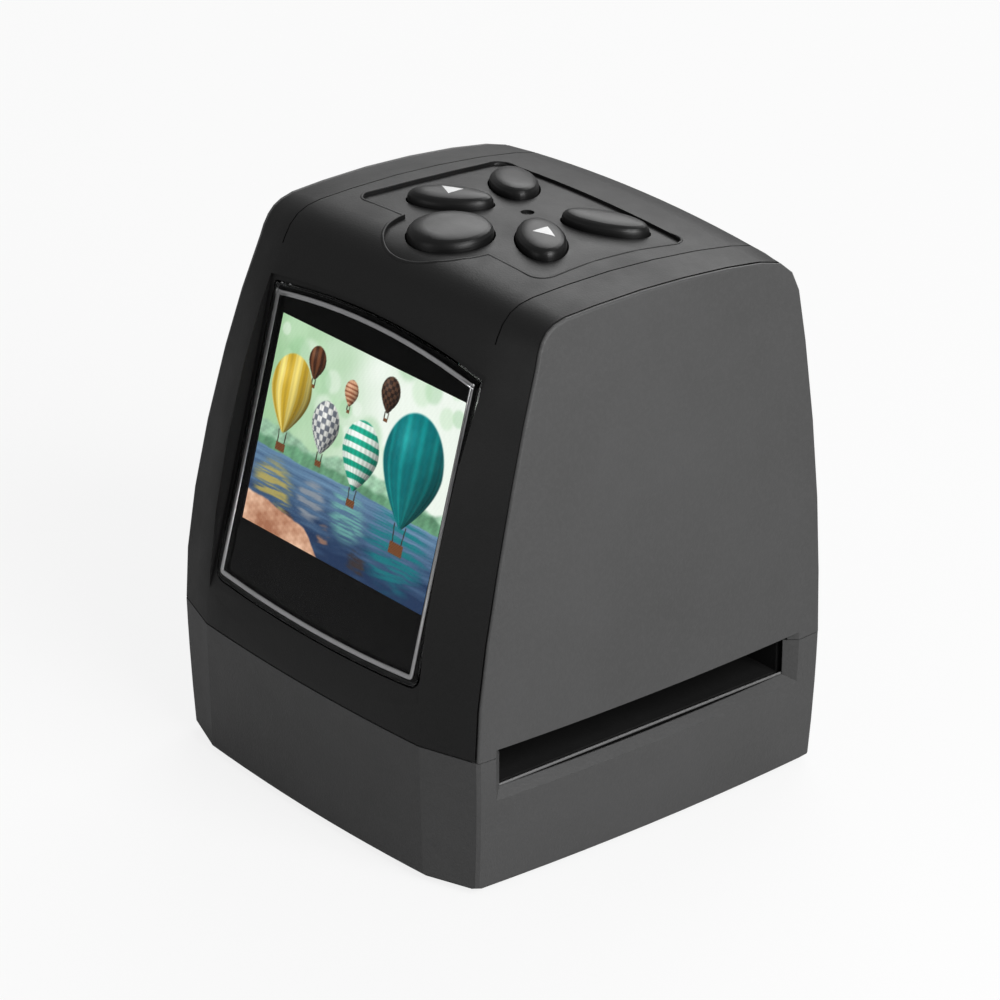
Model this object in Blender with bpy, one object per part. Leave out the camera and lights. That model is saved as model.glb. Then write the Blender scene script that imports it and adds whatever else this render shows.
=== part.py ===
"""A film negative scanner: a screen on its front, keys on its top and a film slot through its base.

The script works in millimetres and scales every mesh by MM. +Z is up, +X is the scanner's
right-hand side as its user sees it, and -Y is its front.
"""
import math

import bmesh
import bpy
from mathutils import Vector

MM = 0.001

# Display, round whose picture area the screen and the casing are sized
DISPLAY_WIDTH = 48.96
DISPLAY_HEIGHT = 36.72
DISPLAY_BORDER = 1.2

# Casing
SIDE_MARGIN = 15.82
HALF_WIDTH = DISPLAY_WIDTH / 2 + SIDE_MARGIN
CORNER_DEPTH = 38.0
PARTING_HEIGHT = 25.4
UPPER_MARGIN = 35.48
SIDE_TOP_HEIGHT = PARTING_HEIGHT + DISPLAY_HEIGHT + UPPER_MARGIN
SIDE_BULGE = 1.3
TOP_NARROWING = 5.2
BASE_NARROWING = 1.2
BASE_SETBACK = 0.6
FACET_RISE = 3.8
CROWN_RISE = 1.1
CREASE_INSET = 12.4
CREASE_TOP_HALF_WIDTH = HALF_WIDTH - CREASE_INSET
CREASE_SPREAD = 1.4
WALL = 2.0
GAP = 0.3
BASE_EDGE = 0.8
BASE_CORNER = 0.45
BASE_RING_SHARES = (0.3, 0.6, 0.8)
CUT_OVERRUN = 8.0
SHARP_ANGLE = math.radians(35.0)

# Each station of the casing's side outline: depth as a share of CORNER_DEPTH, height as a share of
# the upper casing's height, and how far the crease stands out as a share of FACET_RISE
OUTLINE_SHARES = [
    (-1.000, 0.000, 0.95),
    (-0.985, 0.130, 0.94),
    (-0.938, 0.285, 1.00),
    (-0.865, 0.455, 1.00),
    (-0.772, 0.635, 0.92),
    (-0.688, 0.775, 0.76),
    (-0.600, 0.900, 0.55),
    (-0.583, 0.929, 0.50),
    (-0.560, 0.954, 0.46),
    (-0.530, 0.972, 0.41),
    (-0.490, 0.984, 0.35),
    (-0.425, 0.993, 0.28),
    (-0.250, 0.998, 0.25),
    (0.000, 1.000, 0.22),
    (0.250, 0.995, 0.19),
    (0.500, 0.984, 0.16),
    (0.700, 0.969, 0.15),
    (0.815, 0.952, 0.20),
    (0.880, 0.922, 0.32),
    (0.915, 0.875, 0.48),
    (0.938, 0.750, 0.72),
    (0.965, 0.550, 0.95),
    (0.985, 0.350, 1.00),
    (0.995, 0.160, 1.00),
    (1.000, 0.000, 0.95),
]
FRONT_COLUMNS = 12
SIDE_STEPS = 10

# Rear cover, cut from the casing below and behind its seam
REAR_SEAM_DROP = 9.6
REAR_SEAM_HEIGHT = SIDE_TOP_HEIGHT - REAR_SEAM_DROP
REAR_SEAM_INSET = 12.0
REAR_SEAM_DEPTH = CORNER_DEPTH - REAR_SEAM_INSET

# Grooves along the creases, over the top
GROOVE_WIDTH = 0.3
GROOVE_DEPTH = 0.4
GROOVE_START_SHARE = 0.87

# Side panels, let into the covers' edges
PANEL_THICKNESS = 1.4
PANEL_RIM = 0.4
PANEL_RIM_STEPS = 3
PANEL_TAPER_SHARE = 0.35
PANEL_SEAM = 0.12
PANEL_RING_SHARES = (0.94, 0.75, 0.45, 0.18)
PANEL_CENTRE_SHARE = 0.42

# Film slot, from the front along Y, with bevelled ends and a sloping sill
SLOT_FRONT_INSET = 3.7
SLOT_REAR_INSET = 5.1
SLOT_FRONT = -(CORNER_DEPTH - SLOT_FRONT_INSET)
SLOT_REAR = CORNER_DEPTH - SLOT_REAR_INSET
SLOT_CUT_UP = 1.4
SLOT_OPENING = 9.5
SLOT_CEILING = PARTING_HEIGHT + SLOT_CUT_UP
SLOT_FLOOR = SLOT_CEILING - SLOT_OPENING
SLOT_BEVEL_DEPTH = 1.8
SLOT_END_BEVEL = 2.0
SLOT_SILL_RISE = 1.4

# Screen, in the plane of its display: centre, tilt, and sizes across and up
SCREEN_INSET = 5.4
SCREEN_DEPTH = -(CORNER_DEPTH - SCREEN_INSET)
SCREEN_RISE = 20.14
SCREEN_HEIGHT = PARTING_HEIGHT + DISPLAY_HEIGHT / 2 + SCREEN_RISE
SCREEN_TILT = math.radians(15.3)
WINDOW_SIDE_TOP = 2.82
WINDOW_SIDE_BOTTOM = 3.02
WINDOW_OVER = 4.54
WINDOW_UNDER = 11.74
WINDOW_HALF_TOP = DISPLAY_WIDTH / 2 + WINDOW_SIDE_TOP
WINDOW_HALF_BOTTOM = DISPLAY_WIDTH / 2 + WINDOW_SIDE_BOTTOM
WINDOW_TOP = DISPLAY_HEIGHT / 2 + WINDOW_OVER
WINDOW_BOTTOM = DISPLAY_HEIGHT / 2 + WINDOW_UNDER
WINDOW_TOP_ARCH = 2.3
WINDOW_BOTTOM_ARCH = 1.3
WINDOW_THICKNESS = 1.0
WINDOW_PROUD = 0.35
WINDOW_EDGE = 0.25
WINDOW_CORNER = 2.2
WINDOW_TOP_CORNER = 0.5
SURROUND_MARGIN = 1.1
SURROUND_DROP = 22.0
PAN_THICKNESS = 2.2
ARC_STEPS = 12
MODULE_SIDE = 4.52
MODULE_END = 2.99
MODULE_WIDTH = DISPLAY_WIDTH + 2 * MODULE_SIDE
MODULE_HEIGHT = DISPLAY_HEIGHT + 2 * MODULE_END
MODULE_THICKNESS = 2.6
BRACKET_THICKNESS = 1.4
BRACKET_MARGIN = 1.6
BRACKET_BAR = 6.0

# Key field on the top, and the keys in it
FIELD_SIDE_MARGIN = 3.9
FIELD_HALF_WIDTH = CREASE_TOP_HALF_WIDTH - FIELD_SIDE_MARGIN
FIELD_FRONT = -11.5
FIELD_REAR = 20.3
FIELD_CORNER = 2.6
FIELD_RECESS = 0.6
FIELD_WAIST = 0.8
SCAN_KEY_DEPTH = -10.7
SCAN_KEY_RADIUS = 7.3
SCAN_FIELD_RADIUS = 11.0
LIGHT_DEPTH = 6.0
LEAF_ACROSS = 11.9
LEAF_ALONG = 7.0
LEAF_LENGTH = 7.6
LEAF_WIDTH = 4.2
LEAF_TURN = math.radians(32.0)
KEY_RISE = 1.9
KEY_ROUND = 1.7
KEY_ROUND_HEIGHT = 1.4
KEY_ROUND_STEPS = 4
KEY_CROWN = 0.12
KEY_CROWN_INSET = 3.0
KEY_CLEARANCE = 0.3
KEY_TRAVEL = 0.7
KEY_FLANGE = 1.0
KEY_FLANGE_THICKNESS = 1.0
KEY_STEM_DROP = 1.1
STEM_RADIUS = 1.8
KEY_SIDES = 32
LIGHT_RADIUS = 0.9
LIGHT_SINK = 0.5

# Key board under the top, a stem's length below the keys
BOARD_THICKNESS = 1.6
SWITCH_SIDE = 6.0
SWITCH_HEIGHT = 3.0
PLUNGER_RADIUS = 1.5
PLUNGER_HEIGHT = 1.2
KEY_STACK = WALL + KEY_FLANGE_THICKNESS + KEY_STEM_DROP + KEY_TRAVEL + 2 * GAP
SWITCH_STACK = BOARD_THICKNESS + SWITCH_HEIGHT + PLUNGER_HEIGHT
KEY_BOARD_HEIGHT = SIDE_TOP_HEIGHT - KEY_STACK - SWITCH_STACK
KEY_BOARD_SIDE = 14.1
KEY_BOARD_END = 6.8
KEY_BOARD_BACK = 7.5
KEY_BOARD_HALF_WIDTH = LEAF_ACROSS + KEY_BOARD_SIDE
KEY_BOARD_FRONT = SCAN_KEY_DEPTH - KEY_BOARD_END
KEY_BOARD_REAR = LIGHT_DEPTH + LEAF_ALONG + KEY_BOARD_BACK
SEAT_SINK = 0.2
TOP_BOSS_RADIUS = 2.2
TOP_BOSS_INSET = 2.6
SCREW_RADIUS = 1.0
SCREW_HEAD_RADIUS = 1.9
SCREW_HEAD_HEIGHT = 1.2
SCREW_GRIP = 5.0
PILOT_SLACK = 0.3

# Film channel and what lights it from below
CHANNEL_INSET = 3.1
CHANNEL_HALF_LENGTH = HALF_WIDTH - CHANNEL_INSET
CHANNEL_WALL = 1.5
FRAME_WIDTH = 36.6
FRAME_DEPTH = 24.6
GUIDE_THICKNESS = 1.5
POST_RADIUS = 2.4
POST_SIDE_INSET = 9.3
POST_END_INSET = 12.0
POST_ACROSS = HALF_WIDTH - POST_SIDE_INSET
POST_ALONG = CORNER_DEPTH - POST_END_INSET
LAMP_BOARD_WIDTH = 50.0
LAMP_BOARD_DEPTH = 38.0
LIGHT_BOX_WALL = 1.5
LIGHT_BOX_MARGIN = 2.4
DIFFUSER_THICKNESS = 1.5
LAMP_SIZE = 2.8
LAMP_HEIGHT = 0.9
LAMP_COUNT_ACROSS = 4
LAMP_COUNT_ALONG = 3
LAMP_FIELD_SHARE = 0.7

# Camera above the film
TUNNEL_TOP_HALF = 10.5
TUNNEL_HEIGHT = 24.0
TUNNEL_WALL = 1.4
MOUNT_HALF = 13.0
MOUNT_THICKNESS = 3.0
MOUNT_POST_HEIGHT = 9.5
BARREL_RADIUS = 6.5
BARREL_LENGTH = 12.0
BARREL_BORE = 4.5
BARREL_RIM = 1.0
LENS_THICKNESS = 2.4
SENSOR_SIDE = 11.0
SENSOR_THICKNESS = 1.4
ROUND_SIDES = 20

# Main board and the sockets at the back
MAIN_BOARD_RISE = 3.2
MAIN_BOARD_SIDE_INSET = 7.3
MAIN_BOARD_FRONT_INSET = 9.0
MAIN_BOARD_REAR_INSET = 4.2
MAIN_BOARD_HALF_WIDTH = HALF_WIDTH - MAIN_BOARD_SIDE_INSET
MAIN_BOARD_FRONT = -(CORNER_DEPTH - MAIN_BOARD_FRONT_INSET)
MAIN_BOARD_REAR = CORNER_DEPTH - MAIN_BOARD_REAR_INSET
MAIN_BOARD_WINDOW_MARGIN = 1.5
CARD_WIDTH = 26.0
CARD_DEPTH = 20.0
CARD_THICKNESS = 3.4
CARD_ACROSS = -17.0
CARD_MOUTH_WIDTH = 24.4
CARD_MOUTH_HEIGHT = 2.4
USB_WIDTH = 7.8
USB_DEPTH = 8.0
USB_THICKNESS = 4.0
USB_ACROSS = 8.0
USB_MOUTH_WIDTH = 6.6
USB_MOUTH_HEIGHT = 2.8
VIDEO_SIDE = 6.4
VIDEO_DEPTH = 9.0
VIDEO_ACROSS = 20.0
VIDEO_BORE = 1.8
SOCKET_REVEAL = 0.6
MOUTH_DEPTH = 6.0
CHIP_SIDE = 12.0
CHIP_HEIGHT = 1.2
CHIP_ACROSS = -26.5
CHIP_DEPTH = -14.0

# Casing screws and feet
CASE_SCREW_ACROSS = 20.0
CASE_SCREW_INSET = 1.0
CASE_SCREW_ALONG = CORNER_DEPTH - CASE_SCREW_INSET
CASE_BOSS_RADIUS = 2.6
CASE_BOSS_RISE = 6.8
CASE_HEAD_SINK = 1.0
FOOT_RADIUS = 4.0
FOOT_THICKNESS = 1.4
FOOT_PROUD = 0.5
FOOT_SIDE_INSET = 9.3
FOOT_END_INSET = 7.0
FOOT_ACROSS = HALF_WIDTH - FOOT_SIDE_INSET
FOOT_ALONG = CORNER_DEPTH - FOOT_END_INSET

# Levels that several pieces share
BASE_TOP = PARTING_HEIGHT - GAP / 2
COVER_LOW = PARTING_HEIGHT + GAP / 2
BASE_FLOOR = FOOT_PROUD + WALL
CHANNEL_FLOOR = SLOT_FLOOR + SLOT_SILL_RISE
CHANNEL_FRONT = SLOT_FRONT + SLOT_END_BEVEL
CHANNEL_REAR = SLOT_REAR - SLOT_END_BEVEL
GUIDE_LOW = SLOT_CEILING + GAP
GUIDE_TOP = GUIDE_LOW + GUIDE_THICKNESS
MAIN_BOARD_LOW = GUIDE_TOP + MAIN_BOARD_RISE
MAIN_BOARD_TOP = MAIN_BOARD_LOW + BOARD_THICKNESS
KEY_BOARD_TOP = KEY_BOARD_HEIGHT + BOARD_THICKNESS
SWITCH_TOP = KEY_BOARD_TOP + SWITCH_HEIGHT + PLUNGER_HEIGHT

# Places of what repeats
CASE_SCREW_PLACES = [
    (x, y) for x in (-CASE_SCREW_ACROSS, CASE_SCREW_ACROSS) for y in (-CASE_SCREW_ALONG, CASE_SCREW_ALONG)
]
FOOT_PLACES = [(x, y) for x in (-FOOT_ACROSS, FOOT_ACROSS) for y in (-FOOT_ALONG, FOOT_ALONG)]
POST_PLACES = [(x, y) for x in (-POST_ACROSS, POST_ACROSS) for y in (-POST_ALONG, POST_ALONG)]
LEAF_KEYS = {
    "power_key": (-1, 1),
    "menu_key": (1, 1),
    "left_key": (-1, -1),
    "right_key": (1, -1),
}
KEYS = [*LEAF_KEYS, "scan_key"]

COLOURS = {
    "grey": ((0.10, 0.10, 0.10, 1.0), 0.45, 0.0),
    "black": ((0.015, 0.015, 0.016, 1.0), 0.35, 0.0),
    "glass": ((0.02, 0.02, 0.02, 1.0), 0.05, 0.0),
    "display": ((0.60, 0.72, 0.66, 1.0), 0.30, 0.0),
    "board": ((0.02, 0.20, 0.06, 1.0), 0.50, 0.0),
    "white": ((0.80, 0.80, 0.78, 1.0), 0.50, 0.0),
    "metal": ((0.60, 0.60, 0.60, 1.0), 0.30, 1.0),
    "rubber": ((0.02, 0.02, 0.02, 1.0), 0.85, 0.0),
    "lens": ((0.10, 0.13, 0.16, 1.0), 0.05, 0.0),
}

for old in list(bpy.data.objects):
    bpy.data.objects.remove(old)
parts = bpy.data.collections.new("film_scanner")
cutters = bpy.data.collections.new("cutters")
bpy.context.scene.collection.children.link(parts)
bpy.context.scene.collection.children.link(cutters)


def make_material(name, look):
    """Principled material of one piece."""
    colour, roughness, metallic = COLOURS[look]
    material = bpy.data.materials.new(name)
    material.use_nodes = True
    shader = material.node_tree.nodes["Principled BSDF"]
    shader.inputs["Base Color"].default_value = colour
    shader.inputs["Roughness"].default_value = roughness
    shader.inputs["Metallic"].default_value = metallic
    return material


def add_object(name, mesh, look):
    """Puts a mesh in the parts, or in the cutters where it has no look."""
    item = bpy.data.objects.new(name, mesh)
    if look:
        parts.objects.link(item)
        mesh.materials.append(make_material(name, look))
    else:
        cutters.objects.link(item)
        item.hide_render = True
        item.display_type = "WIRE"
    return item


def finish(name, body, look):
    """Turns a bmesh in millimetres into an object in metres, smooth but for its sharp edges."""
    bmesh.ops.recalc_face_normals(body, faces=body.faces)
    if body.calc_volume(signed=True) < 0:
        bmesh.ops.reverse_faces(body, faces=body.faces)
    bmesh.ops.scale(body, vec=Vector((MM, MM, MM)), verts=body.verts)
    mesh = bpy.data.meshes.new(name)
    body.to_mesh(mesh)
    body.free()
    mesh.shade_smooth()
    mesh.set_sharp_from_angle(angle=SHARP_ANGLE)
    return add_object(name, mesh, look)


def box(name, low, high, look=None):
    """Box between two corners."""
    body = bmesh.new()
    bmesh.ops.create_cube(body, size=1.0)
    size = [h - l for l, h in zip(low, high)]
    middle = [(h + l) / 2 for l, h in zip(low, high)]
    bmesh.ops.scale(body, vec=Vector(size), verts=body.verts)
    bmesh.ops.translate(body, vec=Vector(middle), verts=body.verts)
    return finish(name, body, look)


def cylinder(name, centre, radius, low, high, look=None, top_radius=None):
    """Upright cylinder or cone between two heights."""
    body = bmesh.new()
    upper = radius if top_radius is None else top_radius
    bmesh.ops.create_cone(
        body, cap_ends=True, segments=ROUND_SIDES, radius1=radius, radius2=upper, depth=high - low
    )
    place = Vector((centre[0], centre[1], (low + high) / 2))
    bmesh.ops.translate(body, vec=place, verts=body.verts)
    return finish(name, body, look)


def change(item, tool, operation):
    """Boolean of one object with another, which stays hidden."""
    step = item.modifiers.new(tool.name, "BOOLEAN")
    step.operation = operation
    step.object = tool
    return item


def cut(item, tool):
    return change(item, tool, "DIFFERENCE")


def join(item, tool):
    return change(item, tool, "UNION")


def in_screen_plane(item):
    """Stands an object made flat on the tilted plane of the screen."""
    item.location = (0.0, SCREEN_DEPTH * MM, SCREEN_HEIGHT * MM)
    item.rotation_euler = (math.pi / 2 - SCREEN_TILT, 0.0, 0.0)
    return item


def outline_solid(name, points, low, high, look=None):
    """A flat closed outline, filled and given a thickness from low to high."""
    curve = bpy.data.curves.new(name, "CURVE")
    curve.dimensions = "2D"
    curve.fill_mode = "BOTH"
    curve.extrude = (high - low) / 2 * MM
    spline = curve.splines.new("POLY")
    spline.points.add(len(points) - 1)
    for place, (across, along) in zip(spline.points, points):
        place.co = (across * MM, along * MM, 0.0, 1.0)
    spline.use_cyclic_u = True
    guide = bpy.data.objects.new(name, curve)
    bpy.context.scene.collection.objects.link(guide)
    bpy.context.view_layer.update()
    shape = guide.evaluated_get(bpy.context.evaluated_depsgraph_get())
    mesh = bpy.data.meshes.new_from_object(shape)
    bpy.data.objects.remove(guide)
    body = bmesh.new()
    body.from_mesh(mesh)
    bpy.data.meshes.remove(mesh)
    bmesh.ops.remove_doubles(body, verts=body.verts, dist=GAP * MM / ARC_STEPS)
    bmesh.ops.scale(body, vec=Vector((1 / MM, 1 / MM, 1 / MM)), verts=body.verts)
    bmesh.ops.translate(body, vec=Vector((0.0, 0.0, (low + high) / 2)), verts=body.verts)
    return finish(name, body, look)


def rings_solid(name, rings, look=None):
    """Closed body through rings of equal count, capped at its first and last."""
    body = bmesh.new()
    loops = [[body.verts.new(point) for point in ring] for ring in rings]
    for lower, upper in zip(loops, loops[1:]):
        for k in range(len(lower)):
            after = (k + 1) % len(lower)
            body.faces.new((lower[k], lower[after], upper[after], upper[k]))
    body.faces.new(loops[0])
    body.faces.new(loops[-1])
    bmesh.ops.triangulate(body, faces=body.faces)
    return finish(name, body, look)


def tube_solid(name, rings, look=None):
    """Closed body through rings that run outside and back inside, like a sleeve."""
    body = bmesh.new()
    loops = [[body.verts.new(point) for point in ring] for ring in rings]
    for lower, upper in zip(loops, loops[1:] + loops[:1]):
        for k in range(len(lower)):
            after = (k + 1) % len(lower)
            body.faces.new((lower[k], lower[after], upper[after], upper[k]))
    return finish(name, body, look)


def upper_share(height):
    return (height - PARTING_HEIGHT) / (SIDE_TOP_HEIGHT - PARTING_HEIGHT)


def half_width(height):
    """Half of the casing's width at its corners."""
    if height < PARTING_HEIGHT:
        drop = 1 - height / PARTING_HEIGHT
        return HALF_WIDTH - BASE_NARROWING * drop ** 2
    return HALF_WIDTH - TOP_NARROWING * upper_share(height) ** 2


def side_x(depth, height):
    """Outer face of the casing's bulged side."""
    return half_width(height) + SIDE_BULGE * (1 - (depth / CORNER_DEPTH) ** 2)


def crease_x(height):
    """Where the front's middle turns into its side facets."""
    return CREASE_TOP_HALF_WIDTH + CREASE_SPREAD * (1 - upper_share(height) ** 2)


def outline_stations():
    """Depth, height, crease rise and outward direction of each station of the side outline."""
    upper_height = SIDE_TOP_HEIGHT - PARTING_HEIGHT
    first_height = COVER_LOW
    places = []
    for depth_share, height_share, rise_share in OUTLINE_SHARES:
        height = max(PARTING_HEIGHT + height_share * upper_height, first_height)
        places.append((depth_share * CORNER_DEPTH, height, rise_share * FACET_RISE))
    stations = []
    last = len(places) - 1
    for k, (depth, height, rise) in enumerate(places):
        before, after = places[max(k - 1, 0)], places[min(k + 1, last)]
        along = Vector((after[0] - before[0], after[1] - before[1])).normalized()
        outward = Vector((-along.y, along.x))
        if k in (0, last):
            outward = Vector((math.copysign(1.0, depth), 0.0))
        stations.append((depth, height, rise, outward))
    return stations


STATIONS = outline_stations()


def facet_rise(station, across):
    """How far the skin stands out over its station at a place across it."""
    depth, height, rise, outward = station
    crease = crease_x(height)
    if abs(across) <= crease:
        return rise + CROWN_RISE * (1 - (across / crease) ** 2)
    return max(rise * (half_width(height) - abs(across)) / (half_width(height) - crease), 0.0)


def skin_row(station, offset, edge):
    """Points across the skin at one station, from its left edge to its right."""
    depth, height, rise, outward = station
    crease = crease_x(height)
    across = [-edge, -(edge + crease) / 2]
    across += [crease * (2 * k / FRONT_COLUMNS - 1) for k in range(FRONT_COLUMNS + 1)]
    across += [(edge + crease) / 2, edge]
    row = []
    for x in across:
        out = facet_rise(station, x) + offset
        row.append((x, depth + outward.x * out, height + outward.y * out))
    return row


def lipped_row(station):
    """A row of the covers' skin, whose edges are undercut by the recesses of the side panels."""
    depth, height, rise, outward = station
    slope = rise / (half_width(height) - crease_x(height))
    taper = PANEL_TAPER_SHARE
    lip_sink = (GAP + taper * PANEL_RIM) / (slope + taper)
    row = skin_row(station, 0.0, side_x(depth, height) - lip_sink)
    recess_sink = PANEL_THICKNESS + GAP
    out = GAP - taper * (recess_sink - PANEL_RIM)
    x = side_x(depth, height) - recess_sink
    left, right = [(across, depth + outward.x * out, height + outward.y * out) for across in (-x, x)]
    return [left] + row + [right]


def casing_solid(name, rows, floor, look=None):
    """Solid under a skin given in rows from front to rear, closed at a floor height."""
    first = [(x, y, floor) for x, y, z in rows[0]]
    last = [(x, y, floor) for x, y, z in rows[-1]]
    if floor < rows[0][0][2]:
        rows = [first] + rows + [last]
    body = bmesh.new()
    grid = [[body.verts.new(point) for point in row] for row in rows]
    for lower, upper in zip(grid, grid[1:]):
        for k in range(len(lower) - 1):
            body.faces.new((lower[k], lower[k + 1], upper[k + 1], upper[k]))
    body.faces.new([row[0] for row in grid])
    body.faces.new([row[-1] for row in grid])
    bmesh.ops.triangulate(body, faces=body.faces)
    body.faces.new(grid[0] + grid[-1][::-1])
    return finish(name, body, look)


def inner_solid(name, depth, floor):
    """Solid under the skin at a depth, run out past both sides."""
    rows = [
        skin_row(station, -depth, side_x(station[0], station[1]) + CUT_OVERRUN) for station in STATIONS
    ]
    return casing_solid(name, rows, floor)


def top_height(across, depth):
    """Height of the casing's skin over a place on its top."""
    crown = CROWN_RISE * (1 - (across / CREASE_TOP_HALF_WIDTH) ** 2)
    tops = [(d + out.x * rise, h + out.y * rise) for d, h, rise, out in STATIONS if out.y > abs(out.x)]
    for (near, low), (far, high) in zip(tops, tops[1:]):
        if near <= depth <= far:
            return low + (high - low) * (depth - near) / (far - near) + crown
    return tops[0][1] + crown


def arc_points(left, right, level, arch):
    """Points along a shallow arc between two sides, bulged by its arch."""
    steps = [k / ARC_STEPS for k in range(ARC_STEPS + 1)]
    return [(left + (right - left) * s, level + arch * 4 * s * (1 - s)) for s in steps]


def round_corner(before, corner, after, radius):
    """Points of a rounded corner of an outline."""
    c = Vector(corner)
    one, two = (Vector(before) - c).normalized(), (Vector(after) - c).normalized()
    start, end = c + one * radius, c + two * radius
    steps = [k / ARC_STEPS * 2 for k in range(ARC_STEPS // 2 + 1)]
    return [tuple(start * (1 - s) ** 2 + c * 2 * s * (1 - s) + end * s ** 2) for s in steps]


def window_outline(grow):
    """The screen window's outline, grown by a margin, in the screen's plane."""
    top, bottom = WINDOW_TOP + grow, -(WINDOW_BOTTOM + grow)
    half_top, half_bottom = WINDOW_HALF_TOP + grow, WINDOW_HALF_BOTTOM + grow
    top_arc = arc_points(half_top, -half_top, top, WINDOW_TOP_ARCH)
    low_arc = arc_points(-half_bottom, half_bottom, bottom, -WINDOW_BOTTOM_ARCH)
    corner = WINDOW_CORNER + grow
    points = round_corner(low_arc[-2], low_arc[-1], top_arc[0], corner)
    points += round_corner(points[-1], top_arc[0], top_arc[1], WINDOW_TOP_CORNER)
    points += top_arc[1:-1]
    points += round_corner(top_arc[-2], top_arc[-1], low_arc[0], WINDOW_TOP_CORNER)
    points += round_corner(points[-1], low_arc[0], low_arc[1], corner)
    points += low_arc[2:-2]
    return points


def surround_outline():
    """Outline of the flat surround that the window lies in, running out below it."""
    half = WINDOW_HALF_BOTTOM + SURROUND_MARGIN
    top_arc = arc_points(half, -half, WINDOW_TOP + SURROUND_MARGIN, WINDOW_TOP_ARCH)
    bottom = -(WINDOW_BOTTOM + SURROUND_DROP)
    return top_arc + [(-half, bottom), (half, bottom)]


def leaf_ring(centre, turn, grow, height_at):
    """One ring of a leaf-shaped key."""
    ring = []
    for k in range(KEY_SIDES):
        angle = 2 * math.pi * k / KEY_SIDES
        along = (LEAF_LENGTH + grow) * math.cos(angle)
        beside = (LEAF_WIDTH + grow) * math.sin(angle)
        x = centre[0] + along * math.cos(turn) - beside * math.sin(turn)
        y = centre[1] + along * math.sin(turn) + beside * math.cos(turn)
        ring.append((x, y, height_at(x, y)))
    return ring


def round_ring(centre, radius, height_at):
    """One ring of a round key or stem."""
    ring = []
    for k in range(KEY_SIDES):
        angle = 2 * math.pi * k / KEY_SIDES
        x, y = centre[0] + radius * math.cos(angle), centre[1] + radius * math.sin(angle)
        ring.append((x, y, height_at(x, y)))
    return ring


def field_height(lift):
    """Height over the key field's floor as a function of place."""
    return lambda x, y: top_height(x, y) - FIELD_RECESS + lift


def key_place(name):
    """Centre of a key."""
    if name not in LEAF_KEYS:
        return (0.0, SCAN_KEY_DEPTH)
    side, row = LEAF_KEYS[name]
    return (side * LEAF_ACROSS, LIGHT_DEPTH + row * LEAF_ALONG)


def key_ring(name, grow, height_at):
    """One ring of a key's outline, grown by a margin."""
    if name not in LEAF_KEYS:
        return round_ring(key_place(name), SCAN_KEY_RADIUS + grow, height_at)
    side, row = LEAF_KEYS[name]
    return leaf_ring(key_place(name), side * row * LEAF_TURN, grow, height_at)


def make_key(name):
    """A key: the stem that meets its switch, the flange that keeps it in, and its rounded cap."""
    place = key_place(name)
    stem_foot = SWITCH_TOP + KEY_TRAVEL + GAP
    flange_high = FIELD_RECESS - WALL - GAP
    flange_low = flange_high - KEY_FLANGE_THICKNESS
    rings = [
        round_ring(place, STEM_RADIUS, lambda x, y: stem_foot),
        round_ring(place, STEM_RADIUS, field_height(flange_low)),
        key_ring(name, KEY_FLANGE, field_height(flange_low)),
        key_ring(name, KEY_FLANGE, field_height(flange_high)),
        key_ring(name, 0.0, field_height(flange_high)),
    ]
    for k in range(KEY_ROUND_STEPS + 1):
        angle = math.pi / 2 * k / KEY_ROUND_STEPS
        inset = KEY_ROUND * (1 - math.cos(angle))
        level = KEY_RISE - KEY_ROUND_HEIGHT * (1 - math.sin(angle))
        rings.append(key_ring(name, -inset, field_height(level)))
    rings.append(key_ring(name, -KEY_CROWN_INSET, field_height(KEY_RISE + KEY_CROWN)))
    return rings_solid(name, rings, "black")


def key_opening(name):
    """Cutter of the hole that a key stands in."""
    rings = [
        key_ring(name, KEY_CLEARANCE, field_height(-WALL - CUT_OVERRUN)),
        key_ring(name, KEY_CLEARANCE, field_height(CUT_OVERRUN)),
    ]
    return rings_solid(f"{name}_opening", rings)


def field_outline():
    """Outline of the recessed key field: waisted sides and a round lobe for the scan key."""
    half, front, rear = FIELD_HALF_WIDTH, FIELD_FRONT, FIELD_REAR
    side = arc_points(front + FIELD_CORNER, rear - FIELD_CORNER, half, -FIELD_WAIST)
    right = [(across, depth) for depth, across in side]
    points = round_corner((0.0, front), (half, front), (half, rear), FIELD_CORNER)
    points += right[1:-1]
    points += round_corner((half, front), (half, rear), (0.0, rear), FIELD_CORNER)
    points += round_corner((half, rear), (-half, rear), (-half, front), FIELD_CORNER)
    points += [(-across, depth) for across, depth in reversed(right[1:-1])]
    points += round_corner((-half, rear), (-half, front), (0.0, front), FIELD_CORNER)
    reach = math.asin((SCAN_KEY_DEPTH - front) / SCAN_FIELD_RADIUS)
    sweep = math.pi - 2 * reach
    for k in range(2 * ARC_STEPS + 1):
        angle = math.pi + reach + sweep * k / (2 * ARC_STEPS)
        points.append(
            (SCAN_FIELD_RADIUS * math.cos(angle), SCAN_KEY_DEPTH + SCAN_FIELD_RADIUS * math.sin(angle))
        )
    return points


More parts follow.
